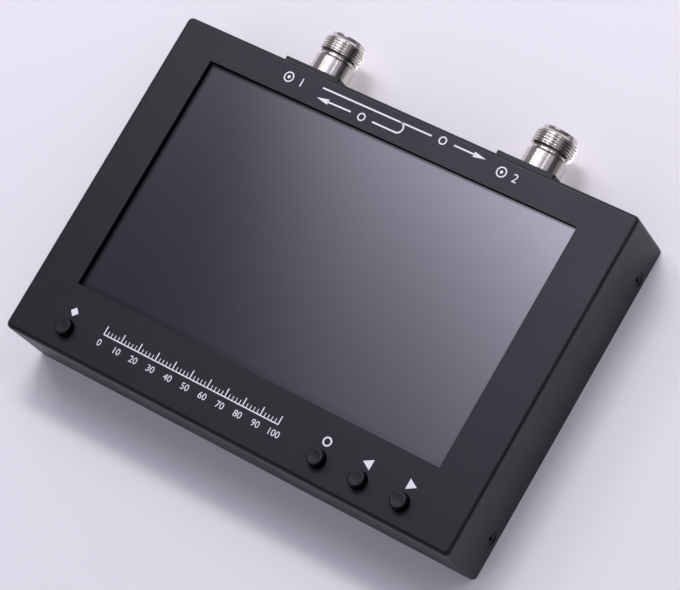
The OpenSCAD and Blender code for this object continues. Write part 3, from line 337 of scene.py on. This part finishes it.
def glass_finish():
    """Black glass over a dark panel: its picture area is a shade lighter than its border."""
    material, tree, shader, place = start_material("dark_touch_glass")
    low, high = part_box("touch_glass")
    middle = (low + high) / 2
    split = put(tree, "ShaderNodeSeparateXYZ", {0: place})
    border = 6.2
    reach_x = calc(tree, "ABSOLUTE", calc(tree, "SUBTRACT", split.outputs["X"], middle.x / MM))
    reach_y = calc(tree, "ABSOLUTE", calc(tree, "SUBTRACT", split.outputs["Y"], middle.y / MM))
    half_x = (high.x - low.x) / 2 / MM - border
    half_y = (high.y - low.y) / 2 / MM - border
    inside = calc(tree, "MULTIPLY",
                  spread(tree, reach_x, half_x, half_x + 0.2, 1.0, 0.0),
                  spread(tree, reach_y, half_y, half_y + 0.2, 1.0, 0.0))
    smear = noise(tree, place, 0.02, 4.0, 0.6)
    specks = group_node(tree, DUST, {"Place": place, "Spacing": 0.25, "Amount": 0.35})
    picture = mixed(tree, smear, (0.026, 0.0255, 0.034), (0.031, 0.0305, 0.041))
    base = mixed(tree, inside, (0.022, 0.0215, 0.029), picture)
    # Painted shade along the window's top and left edges: darker base colour, Metallic that blackens it, and
    # no coat reflection there.
    painted_lip_shade_strip, black = painted_lip_shade_masks(tree, split)
    base = mixed(tree, painted_lip_shade_strip, base, (0.003, 0.003, 0.004))
    base = mixed(tree, specks.outputs["Mask"], base, (0.16, 0.16, 0.17))
    tree.links.new(base, shader.inputs["Base Color"])
    gloss = spread(tree, smear, 0.3, 0.7, 0.05, 0.075)
    gloss = calc(tree, "ADD", gloss, calc(tree, "MULTIPLY", specks.outputs["Mask"], 0.3))
    tree.links.new(gloss, shader.inputs["Roughness"])
    shader.inputs["Specular IOR Level"].default_value = 1.0
    tree.links.new(black, shader.inputs["Metallic"])
    tree.links.new(calc(tree, "SUBTRACT", 1.0, painted_lip_shade_strip), shader.inputs["Coat Weight"])
    shader.inputs["Coat Roughness"].default_value = 0.03
    shader.inputs["Coat IOR"].default_value = 1.7
    bump(tree, shader, smear, 0.004)
    return material


def turned_finish(name, colour, shade, roughness, lines, relief, painted_dark_reflection=0.0):
    """Turned and plated metal: bright, with tool lines round it and a faint tarnish. Where the last argument
    is above 0, a stripe along the upper right is darkened: a painted reflection of dark surroundings, not a
    feature of the metal."""
    material, tree, shader, place = start_material(name)
    shader.inputs["Metallic"].default_value = 1.0
    grains = group_node(tree, GRAIN, {"Place": place, "Grain": 5.0, "Mottle": 0.3})
    cut = group_node(tree, TURNED, {"Place": place, "Lines": lines})
    patch = spread(tree, grains.outputs["Mottle"], 0.3, 0.7, 0.0, 1.0)
    facing = put(tree, "ShaderNodeSeparateXYZ", {0: put(tree, "ShaderNodeNewGeometry").outputs["Normal"]})
    lean = calc(tree, "ARCTAN2", facing.outputs["X"], facing.outputs["Z"])
    # Painted reflection: a dark stripe in the base colour where the surface faces the upper right.
    stripe = calc(tree, "MULTIPLY", spread(tree, lean, 0.88, 1.0, 0.0, painted_dark_reflection),
                  spread(tree, lean, 1.14, 1.3, 1.0, 0.0))
    base = mixed(tree, stripe, mixed(tree, patch, shade, colour), (0.02, 0.018, 0.016))
    tree.links.new(base, shader.inputs["Base Color"])
    gloss = spread(tree, cut.outputs["Height"], 0.3, 0.7, roughness[0], roughness[1])
    tree.links.new(gloss, shader.inputs["Roughness"])
    bump(tree, shader, cut.outputs["Height"], relief)
    return material


def striped_finish(name, colour, stripe, width, roughness):
    """Flat cable: conductors that run along it, spaced across +X, under a clear film."""
    material, tree, shader, place = start_material(name)
    split = put(tree, "ShaderNodeSeparateXYZ", {0: place})
    wave = calc(tree, "SINE", calc(tree, "MULTIPLY", split.outputs["X"], 2 * math.pi / width))
    line = spread(tree, wave, -0.1, 0.3, 0.0, 1.0)
    tree.links.new(mixed(tree, line, colour, stripe), shader.inputs["Base Color"])
    smear = noise(tree, place, 0.4, 3.0)
    tree.links.new(spread(tree, smear, 0.3, 0.7, *roughness), shader.inputs["Roughness"])
    bump(tree, shader, line, 0.02)
    return material


def board_finish():
    """Solder mask over copper: straight tracks in two directions, and a fine weave."""
    material, tree, shader, place = start_material("green_board")
    tracks = put(tree, "ShaderNodeTexBrick", {
        "Vector": place, "Scale": 0.35, "Mortar Size": 0.06, "Mortar Smooth": 0.2,
        "Brick Width": 1.7, "Row Height": 0.42})
    copper = tracks.outputs["Fac"]
    base = mixed(tree, copper, (0.012, 0.07, 0.03), (0.03, 0.15, 0.06))
    tree.links.new(base, shader.inputs["Base Color"])
    weave = noise(tree, place, 2.0, 2.0)
    tree.links.new(spread(tree, weave, 0.3, 0.7, 0.3, 0.42), shader.inputs["Roughness"])
    bump(tree, shader, calc(tree, "ADD", copper, calc(tree, "MULTIPLY", weave, 0.3)), 0.03)
    return material


def foil_finish():
    """Pouch foil with soft dents and creases."""
    material, tree, shader, place = start_material("pouch_foil")
    shader.inputs["Metallic"].default_value = 1.0
    dents = noise(tree, place, 0.08, 4.0, 0.6)
    fine = noise(tree, place, 1.5, 2.0)
    base = mixed(tree, dents, (0.36, 0.37, 0.39), (0.48, 0.49, 0.51))
    tree.links.new(base, shader.inputs["Base Color"])
    tree.links.new(spread(tree, fine, 0.3, 0.7, 0.32, 0.46), shader.inputs["Roughness"])
    bump(tree, shader, dents, 0.35)
    return material


def print_finish():
    """White screen print: even, slightly speckled ink."""
    material, tree, shader, place = start_material("white_print")
    speckle = noise(tree, place, 4.0, 2.0, 0.7)
    cover = spread(tree, speckle, 0.25, 0.45, 0.0, 1.0)
    tree.links.new(mixed(tree, cover, (0.5, 0.49, 0.54), (0.86, 0.845, 0.91)),
                   shader.inputs["Base Color"])
    tree.links.new(spread(tree, speckle, 0.3, 0.7, 0.5, 0.65), shader.inputs["Roughness"])
    bump(tree, shader, speckle, 0.01)
    return material


# The last value sets how strong the painted dark reflection stripe is.
SOCKET_NICKEL = turned_finish(
    "bright_nickel", (0.71, 0.68, 0.64), (0.62, 0.59, 0.55), (0.13, 0.22), 5.0, 0.006, 0.7)
WHITE_PRINT = print_finish()

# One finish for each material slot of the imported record
FINISHES = {
    "housing_black": housing_finish(),
    "screw_black": finish("black_oxide", (0.020, 0.020, 0.021), (0.012, 0.012, 0.013), (0.3, 0.42),
                          0.6, 3.0, 0.012, 0.5),
    "steel": finish("zinc_plate", (0.60, 0.61, 0.63), (0.50, 0.51, 0.53), (0.28, 0.42),
                    1.0, 2.0, 0.01, 0.15),
    "nickel": SOCKET_NICKEL,
    "gold": turned_finish("gold_plate", (0.90, 0.66, 0.27), (0.80, 0.56, 0.21), (0.18, 0.3), 6.0, 0.005),
    "ptfe_white": finish("waxy_white", (0.86, 0.855, 0.83), (0.80, 0.79, 0.76), (0.42, 0.55),
                         0.0, 1.5, 0.01, 0.3),
    "screen_glass": glass_finish(),
    "panel_black": finish("panel_black", (0.012, 0.012, 0.016), (0.008, 0.008, 0.010), (0.12, 0.2),
                          0.0, 1.0, 0.004, 0.05),
    "guide_white": finish("milky_light_guide", (0.86, 0.87, 0.88), (0.80, 0.81, 0.83), (0.2, 0.3),
                          0.0, 1.6, 0.01, 0.1),
    "tape_black": finish("foam_tape", (0.02, 0.02, 0.02), (0.012, 0.012, 0.012), (0.85, 0.95),
                         0.0, 2.2, 0.08, 0.4, 0.2),
    "film_amber": striped_finish("amber_film", (0.50, 0.24, 0.06), (0.62, 0.30, 0.09), 1.0, (0.22, 0.34)),
    "socket_white": finish("connector_white", (0.80, 0.78, 0.72), (0.72, 0.70, 0.64), (0.4, 0.5),
                           0.0, 1.8, 0.015, 0.25),
    "board_green": board_finish(),
    "part_black": finish("moulded_black", (0.024, 0.024, 0.026), (0.016, 0.016, 0.018), (0.5, 0.62),
                         0.0, 2.4, 0.03, 0.2),
    "key_black": key_finish(),
    "cell_foil": foil_finish(),
    "lead_red": finish("silicone_red", (0.42, 0.02, 0.02), (0.34, 0.015, 0.015), (0.5, 0.6),
                       0.0, 2.0, 0.01, 0.3),
}


def dress_frame():
    """Gives every CAD node the finish of its material slot."""
    for part in frame["record"]["subparts"]:
        node = NODES[part["node"]]
        node.data.materials.clear()
        node.data.materials.append(FINISHES[part["material_slot"]])
        for face in node.data.polygons:
            face.material_index = 0


# ---------- new pieces ----------

def keep_piece(name, mesh, material, body="instrument"):
    """Turns a bmesh into a finished object that rides on a body."""
    data = bpy.data.meshes.new(name)
    mesh.to_mesh(data)
    mesh.free()
    data.materials.append(material)
    piece = bpy.data.objects.new(name, data)
    bpy.context.scene.collection.objects.link(piece)
    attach(piece, body)
    return piece


# Socket shell, along its axis from the pad's face; radii and lengths as in the CAD outline
SHANK = 8.6 * MM
BARREL = 8.2 * MM
BARREL_BEVEL = 0.8 * MM
GROOVE = 1.0 * MM
THREAD = 6.6 * MM
RIM = 1.2 * MM
PITCH = 25.4 / 24 * MM
THREAD_DEPTH = 0.62 * MM
R_SHANK, R_BARREL, R_GROOVE = 6.0 * MM, 7.6 * MM, 6.4 * MM
R_THREAD, R_RIM, R_BORE = 7.85 * MM, 6.4 * MM, 4.05 * MM
THREAD_LEAD = 0.9 * MM
THREAD_START = BARREL + GROOVE
THREAD_END = THREAD_START + THREAD
TIP = THREAD_END + RIM


def thread_envelope(along):
    """Greatest radius of the thread at a distance along the socket, with both bevels."""
    start = R_THREAD - THREAD_LEAD + (along - THREAD_START)
    end = R_RIM + (THREAD_END - along)
    return min(R_THREAD, start, end)


def thread_radius(along, turn):
    """Radius of the helical thread at a distance along the socket and a share of a turn."""
    phase = (along / PITCH - turn) % 1.0
    flank = min(1.0, max(0.0, (abs(2 * phase - 1) - 0.15) / 0.65))
    height = flank * flank * (3 - 2 * flank)
    return min(thread_envelope(along), R_THREAD - THREAD_DEPTH * (1 - height))


def socket_shell(name, cad_node):
    """Turned shell whose threaded end carries a real helix."""
    low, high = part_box(cad_node)
    axis_x, axis_z = (low.x + high.x) / 2, (low.z + high.z) / 2
    round_off = 0.22 * MM
    rings = 152
    threaded = [THREAD_START + THREAD * i / rings for i in range(rings + 1)]
    profile = [
        (R_BORE, -SHANK), (R_SHANK - round_off, -SHANK), (R_SHANK, -SHANK + round_off),
        (R_SHANK, 0), (R_BARREL - 0.05 * MM, 0), (R_BARREL, 0.05 * MM),
        (R_BARREL, BARREL - BARREL_BEVEL - 0.05 * MM), (R_BARREL - 0.05 * MM, BARREL - BARREL_BEVEL),
        (R_BARREL - BARREL_BEVEL, BARREL), (R_GROOVE + 0.15 * MM, BARREL),
        (R_GROOVE, BARREL + 0.15 * MM), (R_GROOVE, THREAD_START - 0.15 * MM),
        (R_GROOVE + 0.15 * MM, THREAD_START)]
    first_threaded = len(profile)
    profile += [(thread_envelope(a), a) for a in threaded]
    last_threaded = len(profile) - 1
    profile += [
        (R_RIM, TIP - round_off), (R_RIM - 0.08 * MM, TIP - 0.08 * MM), (R_RIM - round_off, TIP),
        (R_BORE + round_off, TIP), (R_BORE, TIP - round_off)]
    mesh = bmesh.new()
    points = [mesh.verts.new((axis_x + r, PAD_FACE + a, axis_z)) for r, a in profile]
    edges = [mesh.edges.new(pair) for pair in zip(points, points[1:] + points[:1])]
    on_thread = {points[i] for i in range(first_threaded, last_threaded + 1)}
    threaded_heights = {round(v.co.y, 7) for v in on_thread}
    bmesh.ops.spin(mesh, geom=points + edges, cent=(axis_x, 0, axis_z), axis=(0, 1, 0),
                   angle=2 * math.pi, steps=96, use_merge=True)
    for v in mesh.verts:
        out = Vector((v.co.x - axis_x, 0, v.co.z - axis_z))
        if round(v.co.y, 7) in threaded_heights and out.length > R_RIM - 0.1 * MM:
            turn = math.atan2(out.z, out.x) / (2 * math.pi)
            radius = thread_radius(v.co.y - PAD_FACE, turn)
            v.co.x, v.co.z = axis_x + out.x / out.length * radius, axis_z + out.z / out.length * radius
    bmesh.ops.recalc_face_normals(mesh, faces=mesh.faces)
    for face in mesh.faces:
        face.smooth = True
    for edge in mesh.edges:
        on_helix = all(round(v.co.y, 7) in threaded_heights for v in edge.verts)
        edge.smooth = on_helix or edge.calc_face_angle(0) < math.radians(35)
    piece = keep_piece(name, mesh, SOCKET_NICKEL)
    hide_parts(cad_node)


# Printed marks lie on the front face
INK = 0.03 * MM


def flat_polygon(mesh, points):
    """Face on the front from corner points in millimetres."""
    corners = [mesh.verts.new((x * MM, y * MM, FACE)) for x, y in points]
    return mesh.faces.new(corners)


def bar(mesh, start, end, width):
    """Straight printed line between two points in millimetres."""
    (x0, y0), (x1, y1) = start, end
    length = math.hypot(x1 - x0, y1 - y0)
    nx, ny = -(y1 - y0) / length * width / 2, (x1 - x0) / length * width / 2
    flat_polygon(mesh, [(x0 + nx, y0 + ny), (x0 - nx, y0 - ny), (x1 - nx, y1 - ny), (x1 + nx, y1 + ny)])


def arc_band(mesh, middle, radius, width, from_angle, to_angle):
    """Printed arc: a short line swept round its middle."""
    x, y = middle
    ends = []
    for r in (radius - width / 2, radius + width / 2):
        a = math.radians(from_angle)
        ends.append(mesh.verts.new(((x + r * math.cos(a)) * MM, (y + r * math.sin(a)) * MM, FACE)))
    edge = mesh.edges.new(ends)
    sweep = math.radians(to_angle - from_angle)
    full = abs(abs(sweep) - 2 * math.pi) < 1e-6
    bmesh.ops.spin(mesh, geom=[*ends, edge], cent=(x * MM, y * MM, FACE), axis=(0, 0, 1),
                   angle=sweep, steps=40, use_merge=full)


def disc(mesh, middle, radius):
    """Printed dot."""
    place = Matrix.Translation((middle[0] * MM, middle[1] * MM, FACE))
    bmesh.ops.create_circle(mesh, cap_ends=True, radius=radius * MM, segments=32, matrix=place)


def arrow(mesh, start, tip, width, head_length, head_width):
    """Printed line with a slim head at its tip."""
    (x0, y0), (x1, y1) = start, tip
    length = math.hypot(x1 - x0, y1 - y0)
    ux, uy = (x1 - x0) / length, (y1 - y0) / length
    neck = (x1 - ux * head_length, y1 - uy * head_length)
    bar(mesh, start, (neck[0] + ux * 0.2, neck[1] + uy * 0.2), width)
    half = head_width / 2
    flat_polygon(mesh, [(neck[0] - uy * half, neck[1] + ux * half),
                        (neck[0] + uy * half, neck[1] - ux * half), (x1, y1)])


def numeral(mesh, text, middle, height):
    """Plain printed number, centred on a point in millimetres."""
    curve = bpy.data.curves.new("numeral", "FONT")
    curve.body = text
    curve.size = height * MM * 1.38
    curve.align_x = "CENTER"
    curve.resolution_u = 6
    written = bpy.data.objects.new("numeral", curve)
    bpy.context.scene.collection.objects.link(written)
    shape = bpy.data.meshes.new_from_object(written)
    shape.transform(Matrix.Translation((middle[0] * MM, (middle[1] - height / 2) * MM, FACE)))
    mesh.from_mesh(shape)
    bpy.data.objects.remove(written)
    bpy.data.curves.remove(curve)
    bpy.data.meshes.remove(shape)


def print_marks(name, draw):
    """Draws flat marks and gives the ink its thickness."""
    mesh = bmesh.new()
    draw(mesh)
    bmesh.ops.remove_doubles(mesh, verts=mesh.verts, dist=0.002 * MM)
    bmesh.ops.recalc_face_normals(mesh, faces=mesh.faces)
    for face in mesh.faces:
        if face.normal.z < 0:
            face.normal_flip()
    raised = bmesh.ops.extrude_face_region(mesh, geom=mesh.faces[:])
    lifted = [v for v in raised["geom"] if isinstance(v, bmesh.types.BMVert)]
    bmesh.ops.translate(mesh, verts=lifted, vec=(0, 0, INK))
    bmesh.ops.recalc_face_normals(mesh, faces=mesh.faces)
    keep_piece(name, mesh, WHITE_PRINT)


LINE = 0.6


def draw_port_marks(mesh):
    """Ring and dot with a number beside each socket, and the paths between them."""
    for x, y, number in ((-46.8, 58.7, "1"), (43.0, 58.8, "2")):
        arc_band(mesh, (x, y), 1.75, 0.5, 0, 360)
        disc(mesh, (x, y), 0.6)
        numeral(mesh, number, (x + 5.6, y), 3.3)
    bar(mesh, (-32.8, 60.05), (13.3, 60.3), LINE)
    arrow(mesh, (22.5, 60.5), (35.7, 60.5), LINE, 5.0, 2.0)
    bar(mesh, (-9.3, 56.2), (0.4, 56.2), LINE)
    arc_band(mesh, (0.4, 58.22), 2.02, LINE, -90, 88)
    arrow(mesh, (-18.5, 56.35), (-33.1, 56.1), LINE, 5.0, 2.0)
    arc_band(mesh, (-13.9, 56.25), 1.3, 0.5, 0, 360)
    arc_band(mesh, (17.9, 60.4), 1.3, 0.5, 0, 360)


def draw_key_marks(mesh):
    """Small shapes above the keys; the two on the right point left and right."""
    flat_polygon(mesh, [(52.0, -48.9), (55.5, -50.85), (55.5, -46.9)])
    flat_polygon(mesh, [(73.6, -48.8), (70.15, -46.8), (70.15, -50.8)])
    arc_band(mesh, (37.1, -48.7), 1.45, 0.6, 0, 360)
    flat_polygon(mesh, [(-72.8 - 1.7, -48.9), (-72.8, -50.6), (-72.8 + 1.7, -48.9), (-72.8, -47.2)])


def draw_scale(mesh):
    """Plain graduated scale with numbers, under the window."""
    left, step, line_y = -58.0, 7.6, -51.2
    divisions, parts = 10, 5
    bar(mesh, (left - 0.2, line_y), (left + divisions * step + 0.2, line_y), 0.4)
    for i in range(divisions * parts + 1):
        x = left + i * step / parts
        tall = 3.2 if i % parts == 0 else 1.7
        bar(mesh, (x, line_y + 0.2), (x, line_y + tall), 0.42 if i % parts == 0 else 0.28)
    for i in range(divisions + 1):
        numeral(mesh, str(i * 10), (left + i * step, line_y - 3.1), 2.5)


# ---------- stage ----------

SOFTBOX_HEIGHT = 1.25
LAMP_COLOUR = (1, 0.985, 0.95)
DIM = 0.5                                   # brightness of the surroundings as a light


def add_floor():
    """Pale floor under the instrument, clear when seen from below."""
    mesh = bmesh.new()
    bmesh.ops.create_grid(mesh, x_segments=1, y_segments=1, size=4,
                          matrix=Matrix.Translation((0, 0, -0.2 * MM)))
    data = bpy.data.meshes.new("floor")
    mesh.to_mesh(data)
    mesh.free()
    floor = bpy.data.objects.new("floor", data)
    bpy.context.scene.collection.objects.link(floor)
    material = bpy.data.materials.new("pale_floor")
    material.use_nodes = True
    tree = material.node_tree
    shader = next(n for n in tree.nodes if n.type == "BSDF_PRINCIPLED")
    shader.inputs["Base Color"].default_value = (0.87, 0.85, 0.885, 1)
    shader.inputs["Roughness"].default_value = 0.9
    shader.inputs["Specular IOR Level"].default_value = 0.1
    clear = put(tree, "ShaderNodeBsdfTransparent")
    below = put(tree, "ShaderNodeNewGeometry")
    mix = put(tree, "ShaderNodeMixShader", {0: below.outputs["Backfacing"],
                                            1: shader.outputs[0], 2: clear.outputs[0]})
    output = next(n for n in tree.nodes if n.type == "OUTPUT_MATERIAL")
    tree.links.new(mix.outputs[0], output.inputs["Surface"])
    data.materials.append(material)
    floor.visible_shadow = False


def add_softbox():
    """Overhead panel that lights the scene; the screen reflects its dim lower left part."""
    mesh = bmesh.new()
    bmesh.ops.create_grid(mesh, x_segments=1, y_segments=1, size=1)
    bmesh.ops.scale(mesh, vec=(1.05, 0.75, 1), verts=mesh.verts)
    bmesh.ops.translate(mesh, vec=(0.0, 0.55, SOFTBOX_HEIGHT), verts=mesh.verts)
    bmesh.ops.reverse_faces(mesh, faces=mesh.faces)
    data = bpy.data.meshes.new("softbox")
    mesh.to_mesh(data)
    mesh.free()
    panel = bpy.data.objects.new("softbox", data)
    bpy.context.scene.collection.objects.link(panel)
    panel.visible_camera = False
    material = bpy.data.materials.new("softbox_cloth")
    material.use_nodes = True
    tree = material.node_tree
    tree.nodes.remove(next(n for n in tree.nodes if n.type == "BSDF_PRINCIPLED"))
    coordinates = put(tree, "ShaderNodeTexCoord")
    split = put(tree, "ShaderNodeSeparateXYZ", {0: coordinates.outputs["Object"]})
    x, y = split.outputs["X"], split.outputs["Y"]
    lower = calc(tree, "MINIMUM", calc(tree, "MULTIPLY_ADD", y, 7.56, -7.56 * 0.318), 0.0)
    fall = calc(tree, "EXPONENT", lower)
    slant = calc(tree, "ADD", calc(tree, "MULTIPLY_ADD", x, 5.28, 5.28 * 0.836 - 0.514),
                 calc(tree, "MULTIPLY_ADD", y, 2.36, -2.36 * 0.106))
    edge = put(tree, "ShaderNodeMapRange", {0: slant}, interpolation_type="SMOOTHSTEP").outputs[0]
    across = spread(tree, x, -0.836, -0.473, 0.0, 1.0)
    glow = calc(tree, "MULTIPLY_ADD", edge, 1.39, 0.67)
    glow = calc(tree, "MULTIPLY_ADD", calc(tree, "POWER", across, 2.0), 3.5, glow)
    glow = calc(tree, "MULTIPLY", glow, fall)
    right = calc(tree, "MULTIPLY", spread(tree, x, -0.44, 0.25, 0.63, 0.15),
                 spread(tree, x, 0.25, 0.9, 1.0, 0.5))
    glow = calc(tree, "MULTIPLY", glow, right)
    light = put(tree, "ShaderNodeEmission", {"Color": (0.84, 0.81, 1.0, 1), "Strength": glow})
    output = next(n for n in tree.nodes if n.type == "OUTPUT_MATERIAL")
    tree.links.new(light.outputs[0], output.inputs["Surface"])
    data.materials.append(material)


def set_world():
    """Dim surroundings that light the shadows; pale to the camera. To reflections they are pale
    at the horizon, darker above it, and have a bright patch high on the right."""
    world = bpy.data.worlds.new("surroundings")
    bpy.context.scene.world = world
    world.use_nodes = True
    tree = world.node_tree
    back = next(n for n in tree.nodes if n.type == "BACKGROUND")
    back.inputs["Color"].default_value = (0.87, 0.845, 1.0, 1)
    path = put(tree, "ShaderNodeLightPath")
    coordinates = put(tree, "ShaderNodeTexCoord")
    split = put(tree, "ShaderNodeSeparateXYZ", {0: coordinates.outputs["Generated"]})
    room = spread(tree, split.outputs["X"], -1.0, 1.0, 0.3, 0.06)
    bright_patch = calc(tree, "MULTIPLY", spread(tree, split.outputs["Z"], 0.5, 0.62, 0.0, 0.5),
                        spread(tree, split.outputs["X"], 0.3, 0.55, 0.0, 1.0))
    room = calc(tree, "ADD", room, bright_patch)
    horizon = spread(tree, split.outputs["Z"], 0.0, 0.06, 1.0, room)
    mirrored = calc(tree, "MAXIMUM", path.outputs["Is Glossy Ray"], path.outputs["Is Transmission Ray"])
    strength = put(tree, "ShaderNodeMix", {0: mirrored, 2: DIM, 3: horizon}).outputs[0]
    strength = put(tree, "ShaderNodeMix", {0: path.outputs["Is Camera Ray"], 2: strength, 3: 1.0}).outputs[0]
    tree.links.new(strength, back.inputs["Strength"])


# ---------- the scene ----------

add_camera()
set_world()
add_floor()
add_softbox()
add_area_light("main_light", (-0.2, 0.66, 1.25), (0, 0, 0), (0.5, 0.3), 11.5, LAMP_COLOUR)
add_area_light("left_light", (-0.9, 0.6, 1.1), (0, 0, 0), (0.4, 0.3), 2, LAMP_COLOUR)
add_area_light("right_light", (0.6, 0.6, 1.15), (0, 0, 0), (0.4, 0.3), 1.5, LAMP_COLOUR)
add_area_light("under_light", (0, 0, -0.6), (0, 0, 0), (0.17, 0.11), 7)

dress_frame()
socket_shell("port_1_threaded_shell", "port_1_shell")
socket_shell("port_2_threaded_shell", "port_2_shell")
print_marks("port_marks", draw_port_marks)
print_marks("key_marks", draw_key_marks)
print_marks("tick_scale", draw_scale)

bpy.context.scene.view_settings.view_transform = "Standard"
